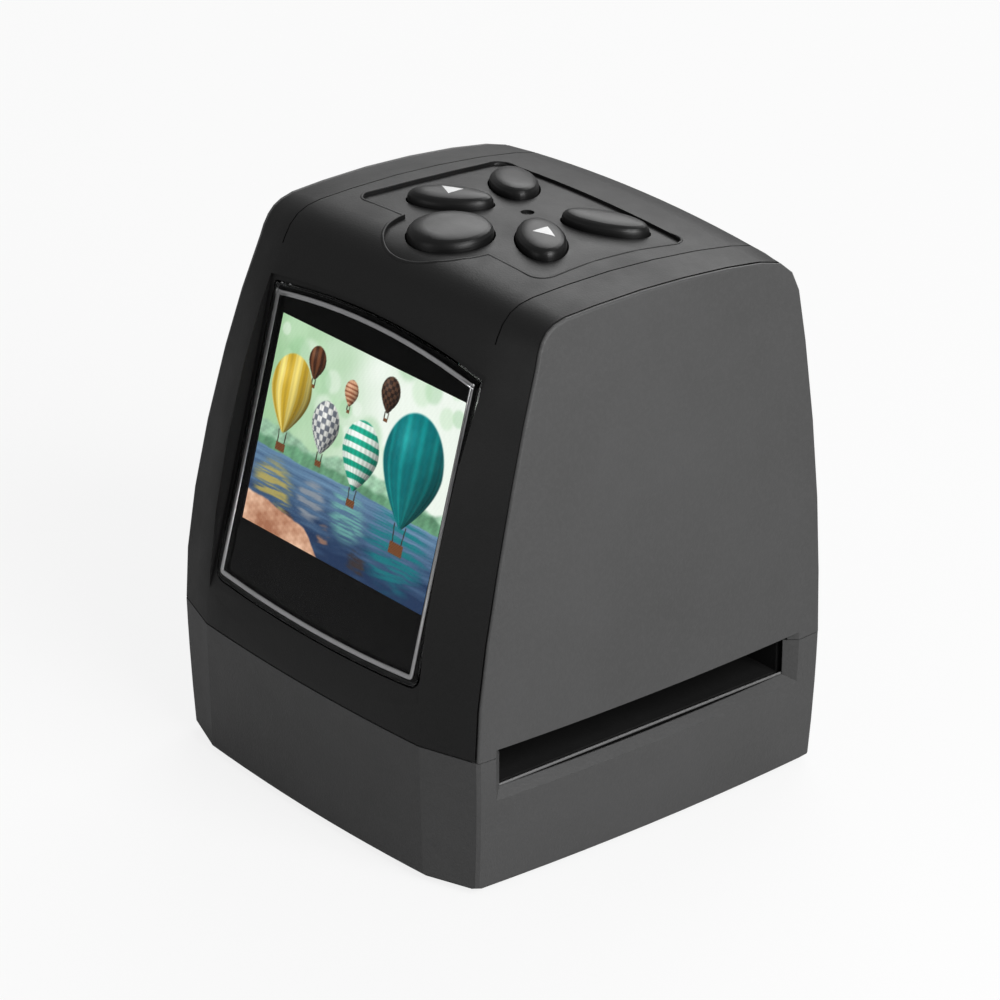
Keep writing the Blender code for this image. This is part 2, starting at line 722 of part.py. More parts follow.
def base_ring(height, inset):
    """Plan outline of the base at one height, drawn in by an inset, its four corners cut off."""
    drop = 1 - height / PARTING_HEIGHT
    corner_depth = CORNER_DEPTH - BASE_SETBACK * drop
    half = half_width(height)
    rise = FACET_RISE * OUTLINE_SHARES[0][2]
    crease = crease_x(PARTING_HEIGHT)
    front = []
    for k in range(FRONT_COLUMNS + 1):
        x = crease * (2 * k / FRONT_COLUMNS - 1)
        front.append((x, -(corner_depth + rise + CROWN_RISE * (1 - (x / crease) ** 2))))
    corner = BASE_CORNER + inset
    along_facet = Vector((crease - half, -rise)).normalized() * corner
    reach = corner_depth - corner
    side = [(half + along_facet.x, along_facet.y - corner_depth)]
    for k in range(SIDE_STEPS + 1):
        y = reach * (2 * k / SIDE_STEPS - 1)
        side.append((half + SIDE_BULGE * (1 - (y / corner_depth) ** 2), y))
    side.append((half + along_facet.x, corner_depth - along_facet.y))
    points = front + side + [(-x, -y) for x, y in front] + [(-x, -y) for x, y in side]
    return [(p.x, p.y, height) for p in inset_loop(points, inset)]


def inset_loop(points, inset):
    """A closed loop in plan, anticlockwise, moved inward by an inset."""
    count = len(points)
    moved = []
    for k, point in enumerate(points):
        here = Vector(point)
        one = (here - Vector(points[k - 1])).normalized()
        two = (Vector(points[(k + 1) % count]) - here).normalized()
        inward = (Vector((-one.y, one.x)) + Vector((-two.y, two.x))).normalized()
        spread = max(inward.dot(Vector((-one.y, one.x))), 0.5)
        moved.append(here + inward * (inset / spread))
    return moved


def slot_cutters(side):
    """Cutters of the film slot on one side: its bevelled mouth, and the way in behind it."""
    name = "right_slot" if side > 0 else "left_slot"
    length = CHANNEL_REAR - CHANNEL_FRONT
    outer, inner = SLOT_BEVEL_DEPTH, -SLOT_BEVEL_DEPTH
    places = [(CHANNEL_FRONT - 2 * SLOT_END_BEVEL, outer)]
    places += [(CHANNEL_FRONT + length * k / SIDE_STEPS, inner) for k in range(SIDE_STEPS + 1)]
    places.append((CHANNEL_REAR + 2 * SLOT_END_BEVEL, outer))
    rings = []
    for y, near in places:
        face = side_x(y, SLOT_FLOOR)
        far = 2 * SLOT_BEVEL_DEPTH
        floors = [(out, SLOT_FLOOR - SLOT_SILL_RISE * out / SLOT_BEVEL_DEPTH) for out in (near, far)]
        ceilings = [(far, SLOT_CEILING), (near, SLOT_CEILING)]
        rings.append([(side * (face + out), y, level) for out, level in floors + ceilings])
    near, far = CHANNEL_HALF_LENGTH - CUT_OVERRUN, HALF_WIDTH + SIDE_BULGE - SLOT_BEVEL_DEPTH
    low, high = sorted((side * near, side * far))
    passage = box(f"{name}_passage", (low, CHANNEL_FRONT, CHANNEL_FLOOR), (high, CHANNEL_REAR, SLOT_CEILING))
    return rings_solid(f"{name}_mouth", rings), passage


SLOT_CUTTERS = {side: slot_cutters(side) for side in (-1, 1)}


def screw(name, place, head_low, end):
    """A screw put in from below: its head starts at one height and its shank ends at another."""
    head_high = head_low + SCREW_HEAD_HEIGHT
    head = cylinder(name, place, SCREW_HEAD_RADIUS, head_low, head_high, "metal")
    join(head, cylinder(f"{name}_shank", place, SCREW_RADIUS, head_high - SEAT_SINK, end))
    return head


def bore(item, name, place, low, high):
    """Cuts a screw's hole."""
    cut(item, cylinder(name, place, SCREW_RADIUS + PILOT_SLACK, low, high))


def make_base():
    """Lower casing: a cup with the film slot in both sides, screw bosses, posts and foot pockets."""
    low = FOOT_PROUD
    outer = [base_ring(low, BASE_EDGE), base_ring(low + BASE_EDGE, 0.0)]
    outer += [base_ring(low + (BASE_TOP - low) * share, 0.0) for share in BASE_RING_SHARES]
    outer.append(base_ring(BASE_TOP, 0.0))
    base = rings_solid("base_housing", outer, "grey")
    inner = [base_ring(BASE_FLOOR, WALL + BASE_EDGE), base_ring(BASE_FLOOR + BASE_EDGE, WALL)]
    inner += [base_ring(height, WALL) for height in (SLOT_FLOOR, BASE_TOP)]
    inner.append([(x, y, z + CUT_OVERRUN) for x, y, z in inner[-1]])
    cut(base, rings_solid("base_hollow", inner))
    boss_low = BASE_FLOOR - SEAT_SINK
    for k, place in enumerate(CASE_SCREW_PLACES):
        join(base, cylinder(f"base_boss_{k}", place, CASE_BOSS_RADIUS, boss_low, BASE_TOP))
        join(base, case_web(f"base_web_{k}", place, boss_low, BASE_TOP))
    for k, place in enumerate(POST_PLACES):
        top = CHANNEL_FLOOR - CHANNEL_WALL - GAP
        join(base, cylinder(f"base_post_{k}", place, POST_RADIUS, boss_low, top))
    for k, place in enumerate(CASE_SCREW_PLACES):
        bore(base, f"base_bore_{k}", place, -CUT_OVERRUN, BASE_TOP + CUT_OVERRUN)
        sink = FOOT_PROUD + CASE_HEAD_SINK + SCREW_HEAD_HEIGHT + GAP
        head_room = SCREW_HEAD_RADIUS + PILOT_SLACK
        cut(base, cylinder(f"base_counterbore_{k}", place, head_room, -CUT_OVERRUN, sink))
    for k, place in enumerate(FOOT_PLACES):
        pocket = FOOT_THICKNESS + GAP
        cut(base, cylinder(f"foot_pocket_{k}", place, FOOT_RADIUS + GAP, -CUT_OVERRUN, pocket))
    for cutter in SLOT_CUTTERS[-1] + SLOT_CUTTERS[1]:
        cut(base, cutter)
    return base


def case_web(name, place, low, high):
    """Web that ties a screw boss to the casing wall behind it."""
    outward = math.copysign(1.0, place[1])
    wall_middle = outward * (CORNER_DEPTH + FACET_RISE - WALL / 2)
    near, far = sorted((place[1], wall_middle))
    return box(name, (place[0] - WALL / 2, near, low), (place[0] + WALL / 2, far, high))


def groove_cutter(side):
    """Cutter of the groove that runs along a crease over the top, from middle to middle of the stations."""
    half = GROOVE_WIDTH / 2
    rings = []
    for before, after in zip(STATIONS, STATIONS[1:]):
        depth, height, rise = [(one + two) / 2 for one, two in zip(before[:3], after[:3])]
        outward = (before[3] + after[3]).normalized()
        if upper_share(height) >= GROOVE_START_SHARE:
            x = side * crease_x(height)
            low, high = rise - GROOVE_DEPTH, rise + WALL
            corners = ((-half, low), (half, low), (half, high), (-half, high))
            rings.append([(x + a, depth + outward.x * out, height + outward.y * out) for a, out in corners])
    return rings_solid("right_groove" if side > 0 else "left_groove", rings)


def make_casing():
    """Front and top cover and rear cover, cut from one skin."""
    hollow = inner_solid("casing_hollow", WALL, COVER_LOW - CUT_OVERRUN)
    pan_half = WINDOW_HALF_BOTTOM + SURROUND_MARGIN + WALL
    pan_top = WINDOW_TOP + WINDOW_TOP_ARCH + SURROUND_MARGIN + WALL
    pan_low = -(WINDOW_BOTTOM + CUT_OVERRUN)
    pan = box("screen_pan", (-pan_half, pan_low, -PAN_THICKNESS), (pan_half, pan_top, SURROUND_DROP))
    cut(hollow, in_screen_plane(pan))

    rows = [lipped_row(station) for station in STATIONS]
    front = casing_solid("front_cover", rows, COVER_LOW, "black")
    rear = casing_solid("rear_cover", rows, COVER_LOW, "black")
    for item in (front, rear):
        cut(item, hollow)
    deep = CORNER_DEPTH + FACET_RISE + CUT_OVERRUN
    wide = HALF_WIDTH + CUT_OVERRUN
    low = COVER_LOW - CUT_OVERRUN
    seam_low, seam_high = REAR_SEAM_HEIGHT - GAP / 2, REAR_SEAM_HEIGHT + GAP / 2
    cut(front, box("rear_region", (-wide, REAR_SEAM_DEPTH, low), (wide, deep, seam_high)))
    keep = box("rear_keep", (-wide, REAR_SEAM_DEPTH, low), (wide, deep, seam_low))
    change(rear, keep, "INTERSECT")

    cut_screen_openings(front)
    cut_key_field(front)
    for side in (-1, 1):
        cut(front, groove_cutter(side))
    for k, place in enumerate(CASE_SCREW_PLACES):
        owner = front if place[1] < 0 else rear
        high = COVER_LOW + CASE_BOSS_RISE
        join(owner, cylinder(f"case_boss_{k}", place, CASE_BOSS_RADIUS, COVER_LOW, high))
        join(owner, case_web(f"case_web_{k}", place, COVER_LOW, high))
        bore(owner, f"case_bore_{k}", place, COVER_LOW - CUT_OVERRUN, high - WALL / 2)
    for mouth in socket_mouths():
        cut(rear, mouth)
    return front, rear


def cut_screen_openings(front):
    """The flat surround, the window's pocket in it, and the opening for the display."""
    cut(front, in_screen_plane(outline_solid("surround_cutter", surround_outline(), 0.0, SURROUND_DROP)))
    seat = -(WINDOW_THICKNESS - WINDOW_PROUD) - GAP
    pocket = outline_solid("window_pocket", window_outline(GAP), seat, SURROUND_DROP)
    cut(front, in_screen_plane(pocket))
    half_view = DISPLAY_WIDTH / 2 + DISPLAY_BORDER + GAP
    view_up = DISPLAY_HEIGHT / 2 + DISPLAY_BORDER + GAP
    view = box("view_cutter", (-half_view, -view_up, -CUT_OVERRUN), (half_view, view_up, CUT_OVERRUN))
    cut(front, in_screen_plane(view))


def cut_key_field(front):
    """The recessed field, the keys' and the light's openings, and the key board's screw bosses."""
    low, high = SIDE_TOP_HEIGHT - CUT_OVERRUN, SIDE_TOP_HEIGHT + CUT_OVERRUN
    bed = inner_solid("key_field_bed", FIELD_RECESS, COVER_LOW)
    recess = outline_solid("key_field", field_outline(), low, high)
    cut(front, cut(recess, bed))
    for name in KEYS:
        cut(front, key_opening(name))
    cut(front, cylinder("light_hole", (0.0, LIGHT_DEPTH), LIGHT_RADIUS + GAP, low, high))
    for k, place in enumerate(key_board_corners()):
        boss_high = top_height(*place) - WALL / 2
        join(front, cylinder(f"top_boss_{k}", place, TOP_BOSS_RADIUS, KEY_BOARD_TOP + GAP, boss_high))
        bore(front, f"top_bore_{k}", place, KEY_BOARD_HEIGHT, KEY_BOARD_TOP + SCREW_GRIP + GAP)


def key_board_corners():
    """Places of the four screws that hold the key board."""
    x = KEY_BOARD_HALF_WIDTH - TOP_BOSS_INSET
    near, far = KEY_BOARD_FRONT + TOP_BOSS_INSET, KEY_BOARD_REAR - TOP_BOSS_INSET
    return [(side * x, y) for side in (-1, 1) for y in (near, far)]


def panel_rim(offset, low):
    """A side panel's outline in depth and height, moved outward and closed at a lower height."""
    points = [
        Vector((depth + outward.x * offset, height + outward.y * offset))
        for depth, height, rise, outward in STATIONS
    ]
    points[0].y = points[-1].y = low
    rear, front = points[-1].x, points[0].x
    steps = [k / SIDE_STEPS for k in range(1, SIDE_STEPS)]
    return points + [Vector((rear + (front - rear) * s, low)) for s in steps]


def make_panel(side):
    """Bulged side panel with a rounded rim, tapered behind it."""
    low = BASE_TOP + PANEL_SEAM
    middle = Vector((0.0, PARTING_HEIGHT + PANEL_CENTRE_SHARE * (SIDE_TOP_HEIGHT - PARTING_HEIGHT)))

    def ring(offset, sink, share=1.0):
        points = [middle + (p - middle) * share for p in panel_rim(offset, low)]
        return [(side * (side_x(p.x, p.y) - sink), p.x, p.y) for p in points]

    rings = [ring(-PANEL_RIM, 0.0, share) for share in reversed(PANEL_RING_SHARES)]
    for k in range(PANEL_RIM_STEPS + 1):
        angle = math.pi / 2 * k / PANEL_RIM_STEPS
        rings.append(ring(PANEL_RIM * (math.sin(angle) - 1), PANEL_RIM * (1 - math.cos(angle))))
    back = -PANEL_TAPER_SHARE * (PANEL_THICKNESS - PANEL_RIM)
    rings.append(ring(back, PANEL_THICKNESS))
    rings += [ring(back, PANEL_THICKNESS, share) for share in PANEL_RING_SHARES]
    panel = rings_solid("right_panel" if side > 0 else "left_panel", rings, "grey")
    for cutter in SLOT_CUTTERS[side]:
        cut(panel, cutter)
    return panel


def make_screen():
    """Window, display module and the bracket behind it."""
    back = -(WINDOW_THICKNESS - WINDOW_PROUD)
    levels = [(0.0, back), (0.0, WINDOW_PROUD - WINDOW_EDGE), (-WINDOW_EDGE, WINDOW_PROUD)]
    rings = [[(x, y, level) for x, y in window_outline(grow)] for grow, level in levels]
    in_screen_plane(rings_solid("screen_window", rings, "glass"))
    face = back - GAP
    half, up = DISPLAY_WIDTH / 2 + DISPLAY_BORDER, DISPLAY_HEIGHT / 2 + DISPLAY_BORDER
    rear = -PAN_THICKNESS - GAP
    module = box("display_module", (-half, -up, rear - SEAT_SINK), (half, up, face), "display")
    body_half, body_up = MODULE_WIDTH / 2, MODULE_HEIGHT / 2
    low = rear - MODULE_THICKNESS
    join(module, box("display_body", (-body_half, -body_up, low), (body_half, body_up, rear)))
    for item in (module, bpy.data.objects["display_body"]):
        in_screen_plane(item)

    edge_half, edge_up = body_half + BRACKET_MARGIN, body_up + BRACKET_MARGIN
    top = low - GAP
    bottom = top - BRACKET_THICKNESS
    bracket = box("display_bracket", (-edge_half, -edge_up, bottom), (edge_half, edge_up, top), "metal")
    inner_half, inner_up = body_half - BRACKET_BAR, body_up - BRACKET_BAR
    cut(bracket, in_screen_plane(
        box("bracket_window", (-inner_half, -inner_up, bottom - GAP), (inner_half, inner_up, top + GAP))
    ))
    for k, (across, along) in enumerate([(-1, -1), (-1, 1), (1, -1), (1, 1)]):
        near, far = sorted((across * (body_half + GAP), across * edge_half))
        foot, head = sorted((along * edge_up, along * (edge_up - BRACKET_BAR)))
        leg = box(f"bracket_leg_{k}", (near, foot, top - SEAT_SINK), (far, head, rear))
        join(bracket, in_screen_plane(leg))
    in_screen_plane(bracket)


def make_keys():
    """Five keys, the light pipe between them, and the board that they press on."""
    for name in KEYS:
        make_key(name)

    low, high = KEY_BOARD_HEIGHT, KEY_BOARD_TOP
    half = KEY_BOARD_HALF_WIDTH
    board = box("key_board", (-half, KEY_BOARD_FRONT, low), (half, KEY_BOARD_REAR, high), "board")
    for name in KEYS:
        x, y = key_place(name)
        reach = SWITCH_SIDE / 2
        seat, body_top = high - SEAT_SINK, high + SWITCH_HEIGHT
        join(board, box(f"{name}_switch", (x - reach, y - reach, seat), (x + reach, y + reach, body_top)))
        join(board, cylinder(f"{name}_plunger", (x, y), PLUNGER_RADIUS, body_top - SEAT_SINK, SWITCH_TOP))
    for k, place in enumerate(key_board_corners()):
        bore(board, f"board_bore_{k}", place, low - CUT_OVERRUN, high + CUT_OVERRUN)
        head_high = low - GAP
        screw(f"board_screw_{k + 1}", place, head_high - SCREW_HEAD_HEIGHT, head_high + SCREW_GRIP)
    centre = (0.0, LIGHT_DEPTH)
    light_top = top_height(*centre) - FIELD_RECESS - LIGHT_SINK
    flange_top = top_height(*centre) - WALL - GAP
    pipe = cylinder("status_light", centre, LIGHT_RADIUS, high + GAP, light_top, "white")
    flange_radius = LIGHT_RADIUS + KEY_FLANGE
    join(pipe, cylinder("light_flange", centre, flange_radius, flange_top - KEY_FLANGE_THICKNESS, flange_top))


def make_film_channel():
    """Channel that the film holder slides through, and what lights the film from below."""
    low = CHANNEL_FLOOR - CHANNEL_WALL
    length = CHANNEL_HALF_LENGTH
    front, rear = CHANNEL_FRONT - CHANNEL_WALL, CHANNEL_REAR + CHANNEL_WALL
    channel = box("film_channel", (-length, front, low), (length, rear, SLOT_CEILING), "black")
    beyond = length + CUT_OVERRUN
    trough = box("trough", (-beyond, CHANNEL_FRONT, CHANNEL_FLOOR), (beyond, CHANNEL_REAR, GUIDE_TOP))
    cut(channel, trough)
    half, deep = FRAME_WIDTH / 2, FRAME_DEPTH / 2
    gate = box("film_gate", (-half, -deep, low - CUT_OVERRUN), (half, deep, GUIDE_TOP + CUT_OVERRUN))
    cut(channel, gate)
    guide = box("film_guide", (-length, front, GUIDE_LOW), (length, rear, GUIDE_TOP), "black")
    cut(guide, gate)
    for k, place in enumerate(POST_PLACES):
        post_high = MAIN_BOARD_LOW - GAP
        join(guide, cylinder(f"guide_post_{k}", place, POST_RADIUS, GUIDE_TOP - SEAT_SINK, post_high))

    board_low = BASE_FLOOR + GAP
    board_high = board_low + BOARD_THICKNESS
    reach, back = LAMP_BOARD_WIDTH / 2, LAMP_BOARD_DEPTH / 2
    lamps = box("lamp_board", (-reach, -back, board_low), (reach, back, board_high), "board")
    pitch_x = FRAME_WIDTH * LAMP_FIELD_SHARE / (LAMP_COUNT_ACROSS - 1)
    pitch_y = FRAME_DEPTH * LAMP_FIELD_SHARE / (LAMP_COUNT_ALONG - 1)
    for i in range(LAMP_COUNT_ACROSS):
        for j in range(LAMP_COUNT_ALONG):
            x = (i - (LAMP_COUNT_ACROSS - 1) / 2) * pitch_x
            y = (j - (LAMP_COUNT_ALONG - 1) / 2) * pitch_y
            side = LAMP_SIZE / 2
            lamp_low, lamp_top = board_high - SEAT_SINK, board_high + LAMP_HEIGHT
            lamp = box(f"lamp_{i}_{j}", (x - side, y - side, lamp_low), (x + side, y + side, lamp_top))
            join(lamps, lamp)

    sheet_top = low - GAP
    sheet_low = sheet_top - DIFFUSER_THICKNESS
    box_half, box_deep = half + LIGHT_BOX_MARGIN, deep + LIGHT_BOX_MARGIN
    box("diffuser", (-box_half, -box_deep, sheet_low), (box_half, box_deep, sheet_top), "white")
    chamber_low, chamber_high = board_high + GAP, sheet_low - GAP
    low_corner, high_corner = (-box_half, -box_deep, chamber_low), (box_half, box_deep, chamber_high)
    chamber = box("light_box", low_corner, high_corner, "white")
    hole_half, hole_deep = box_half - LIGHT_BOX_WALL, box_deep - LIGHT_BOX_WALL
    cut(chamber, box(
        "chamber_hole",
        (-hole_half, -hole_deep, chamber_low - CUT_OVERRUN),
        (hole_half, hole_deep, chamber_high + CUT_OVERRUN),
    ))


def rectangle_ring(half_across, half_along, height):
    return [
        (-half_across, -half_along, height),
        (half_across, -half_along, height),
        (half_across, half_along, height),
        (-half_across, half_along, height),
    ]


def make_camera():
    """Light tunnel, lens mount, lens and image sensor above the film."""
    low = GUIDE_TOP + GAP
    high = low + TUNNEL_HEIGHT
    half, deep = FRAME_WIDTH / 2 + TUNNEL_WALL, FRAME_DEPTH / 2 + TUNNEL_WALL
    top = TUNNEL_TOP_HALF
    tube_solid(
        "light_tunnel",
        [
            rectangle_ring(half, deep, low),
            rectangle_ring(top + TUNNEL_WALL, top + TUNNEL_WALL, high),
            rectangle_ring(top, top, high),
            rectangle_ring(half - TUNNEL_WALL, deep - TUNNEL_WALL, low),
        ],
        "black",
    )
    mount_low = high + GAP
    mount_high = mount_low + MOUNT_THICKNESS
    half = MOUNT_HALF
    mount = box("lens_mount", (-half, -half, mount_low), (half, half, mount_high), "black")
    post_high = mount_high + MOUNT_POST_HEIGHT
    inset = MOUNT_HALF - POST_RADIUS
    for k, (x, y) in enumerate([(-inset, -inset), (-inset, inset), (inset, -inset), (inset, inset)]):
        join(mount, cylinder(f"mount_post_{k}", (x, y), POST_RADIUS, mount_high - SEAT_SINK, post_high))
    bore = BARREL_RADIUS + GAP
    cut(mount, cylinder("mount_bore", (0.0, 0.0), bore, mount_low - CUT_OVERRUN, mount_high + CUT_OVERRUN))

    barrel_high = post_high - SENSOR_THICKNESS - BARREL_RIM - GAP
    barrel_low = barrel_high - BARREL_LENGTH
    barrel = cylinder("lens_barrel", (0.0, 0.0), BARREL_RADIUS, barrel_low, barrel_high, "black")
    flange_low = mount_high + GAP
    flange_high = flange_low + MOUNT_THICKNESS / 2
    join(barrel, cylinder("barrel_flange", (0.0, 0.0), BARREL_RADIUS + BARREL_RIM, flange_low, flange_high))
    seat_low, seat_high = barrel_low + BARREL_RIM, barrel_low + BARREL_RIM + LENS_THICKNESS
    beyond = barrel_high + CUT_OVERRUN
    narrow = BARREL_BORE - BARREL_RIM
    cut(barrel, cylinder("barrel_bore", (0.0, 0.0), narrow, barrel_low - CUT_OVERRUN, beyond))
    cut(barrel, cylinder("lens_seat", (0.0, 0.0), BARREL_BORE + GAP, seat_low, beyond))
    cylinder("lens", (0.0, 0.0), BARREL_BORE, seat_low + GAP, seat_high, "lens")

    board_low = post_high + GAP
    board_high = board_low + BOARD_THICKNESS
    box("sensor_board", (-MOUNT_HALF, -MOUNT_HALF, board_low), (MOUNT_HALF, MOUNT_HALF, board_high), "board")
    reach = SENSOR_SIDE / 2
    sensor_top = board_low - GAP
    box("image_sensor", (-reach, -reach, sensor_top - SENSOR_THICKNESS), (reach, reach, sensor_top), "glass")


def rear_face(height):
    """Depth of the casing's rear face at the crease, at a height."""
    rears = [(h + out.y * rise, d + out.x * rise) for d, h, rise, out in STATIONS if out.x > abs(out.y)]
    for (high, far), (low, near) in zip(rears, rears[1:]):
        if low <= height <= high:
            return near + (far - near) * (height - low) / (high - low)
    return rears[-1][1]


def socket_mouths():
    """Cutters of the rear cover's openings for the three sockets."""
    deep = CORNER_DEPTH + FACET_RISE + CUT_OVERRUN
    near = CORNER_DEPTH - CUT_OVERRUN / 2
    mouths = []
    for name, across, width, thickness in (
        ("card_mouth", CARD_ACROSS, CARD_WIDTH, CARD_THICKNESS),
        ("usb_mouth", USB_ACROSS, USB_WIDTH, USB_THICKNESS),
        ("video_mouth", VIDEO_ACROSS, VIDEO_SIDE, VIDEO_SIDE),
    ):
        half = width / 2 + GAP
        high = MAIN_BOARD_TOP + thickness + 2 * GAP
        mouths.append(box(name, (across - half, near, MAIN_BOARD_TOP), (across + half, deep, high)))
    return mouths


def make_socket(name, across, width, depth, thickness, look):
    """A socket's shell on the main board, its face just inside the rear cover's outer face."""
    low = MAIN_BOARD_TOP + GAP
    face = rear_face(low + thickness / 2) - SOCKET_REVEAL
    half = width / 2
    return box(name, (across - half, face - depth, low), (across + half, face, low + thickness), look)


def make_main_board():
    """Main board round the light tunnel, with the processor and the rear sockets."""
    low, high = MAIN_BOARD_LOW, MAIN_BOARD_TOP
    half = MAIN_BOARD_HALF_WIDTH
    board = box("main_board", (-half, MAIN_BOARD_FRONT, low), (half, MAIN_BOARD_REAR, high), "board")
    hole_half = FRAME_WIDTH / 2 + TUNNEL_WALL + MAIN_BOARD_WINDOW_MARGIN
    hole_deep = FRAME_DEPTH / 2 + TUNNEL_WALL + MAIN_BOARD_WINDOW_MARGIN
    cut(board, box(
        "board_hole", (-hole_half, -hole_deep, low - CUT_OVERRUN), (hole_half, hole_deep, high + CUT_OVERRUN)
    ))
    reach = CHIP_SIDE / 2
    x, y = CHIP_ACROSS, CHIP_DEPTH
    chip_low = high + GAP
    chip_high = chip_low + CHIP_HEIGHT
    box("processor", (x - reach, y - reach, chip_low), (x + reach, y + reach, chip_high), "rubber")

    card = make_socket("card_socket", CARD_ACROSS, CARD_WIDTH, CARD_DEPTH, CARD_THICKNESS, "metal")
    usb = make_socket("usb_socket", USB_ACROSS, USB_WIDTH, USB_DEPTH, USB_THICKNESS, "metal")
    video = make_socket("video_socket", VIDEO_ACROSS, VIDEO_SIDE, VIDEO_DEPTH, VIDEO_SIDE, "rubber")
    for item, across, width, height, thickness, reach in (
        (card, CARD_ACROSS, CARD_MOUTH_WIDTH, CARD_MOUTH_HEIGHT, CARD_THICKNESS, CARD_DEPTH - WALL),
        (usb, USB_ACROSS, USB_MOUTH_WIDTH, USB_MOUTH_HEIGHT, USB_THICKNESS, MOUTH_DEPTH),
    ):
        middle = high + GAP + thickness / 2
        face = rear_face(middle) - SOCKET_REVEAL
        cut(item, box(
            f"{item.name}_mouth",
            (across - width / 2, face - reach, middle - height / 2),
            (across + width / 2, face + CUT_OVERRUN, middle + height / 2),
        ))
    middle = high + GAP + VIDEO_SIDE / 2
    face = rear_face(middle) - SOCKET_REVEAL
    bore = cylinder("video_bore", (0.0, 0.0), VIDEO_BORE, -MOUTH_DEPTH, CUT_OVERRUN)
    bore.location = (VIDEO_ACROSS * MM, face * MM, middle * MM)
    bore.rotation_euler = (-math.pi / 2, 0.0, 0.0)
    cut(video, bore)


def make_fasteners_and_feet():
    """Screws that hold the casing together from below, and four rubber feet."""
    for k, place in enumerate(CASE_SCREW_PLACES):
        screw(f"case_screw_{k + 1}", place, FOOT_PROUD + CASE_HEAD_SINK, PARTING_HEIGHT + SCREW_GRIP)
    for k, place in enumerate(FOOT_PLACES):
        cylinder(f"foot_{k + 1}", place, FOOT_RADIUS, 0.0, FOOT_THICKNESS, "rubber")


make_base()
make_casing()
for panel_side in (-1, 1):
    make_panel(panel_side)
make_screen()
make_keys()
make_film_channel()
make_camera()
make_main_board()
make_fasteners_and_feet()
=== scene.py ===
"""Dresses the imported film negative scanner: materials, screen picture, printed marks, light and camera."""
import math

import bmesh
import bpy
import numpy as np
from mathutils import Matrix, Vector
from mathutils.kdtree import KDTree


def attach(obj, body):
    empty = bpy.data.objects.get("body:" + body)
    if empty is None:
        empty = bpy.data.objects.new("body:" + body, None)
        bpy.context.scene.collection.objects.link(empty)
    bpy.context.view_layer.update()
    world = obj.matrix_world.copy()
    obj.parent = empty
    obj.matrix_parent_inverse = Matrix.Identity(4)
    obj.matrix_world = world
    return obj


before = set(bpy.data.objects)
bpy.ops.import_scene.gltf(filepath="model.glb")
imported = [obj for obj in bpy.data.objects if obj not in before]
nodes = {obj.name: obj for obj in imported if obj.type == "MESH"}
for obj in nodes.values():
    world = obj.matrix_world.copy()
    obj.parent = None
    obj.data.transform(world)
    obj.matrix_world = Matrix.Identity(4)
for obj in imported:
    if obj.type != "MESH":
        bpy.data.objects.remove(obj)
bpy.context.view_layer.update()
scene = bpy.context.scene

MM = 0.001
UP = Vector((0.0, 0.0, 1.0))
ABOVE = UP * 0.2

# The plane of the screen: its centre and tilt
SCREEN_CENTRE = Vector((0.0, -32.6, 63.9)) * MM
SCREEN_TILT = math.radians(15.3)
SCREEN_UP = Vector((0.0, math.sin(SCREEN_TILT), math.cos(SCREEN_TILT)))
SCREEN_OUT = Vector((0.0, -math.cos(SCREEN_TILT), math.sin(SCREEN_TILT)))
PICTURE_WIDTH = 48.96 * MM
PICTURE_HEIGHT = 36.72 * MM
PICTURE_COLUMNS = 320
PICTURE_ROWS = 240
PICTURE_DEPTH = -0.92 * MM
MASK_BACK = -0.88 * MM
MASK_FRONT = -0.70 * MM
LINE_INSET = 0.85 * MM
LINE_WIDTH = 0.9 * MM
LINE_RISE = 0.14 * MM

# Printed arrows on two keys, from their middles
ARROW_ACROSS = 12.93 * MM
ARROW_DEPTH = -0.5 * MM
ARROW_REACH = 1.92 * MM
ARROW_HALF_BASE = 1.65 * MM
ARROW_STEPS = 6
ARROW_RISE = 0.03 * MM


def on_screen(across, up, out):
    """A place given in the screen's plane."""
    return SCREEN_CENTRE + Vector((1.0, 0.0, 0.0)) * across + SCREEN_UP * up + SCREEN_OUT * out


def add_mesh(name, body, material, body_name="housing"):
    """Links a bmesh as a piece that rides on one body."""
    mesh = bpy.data.meshes.new(name)
    body.to_mesh(mesh)
    body.free()
    mesh.materials.append(material)
    piece = bpy.data.objects.new(name, mesh)
    scene.collection.objects.link(piece)
    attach(piece, body_name)
    return piece


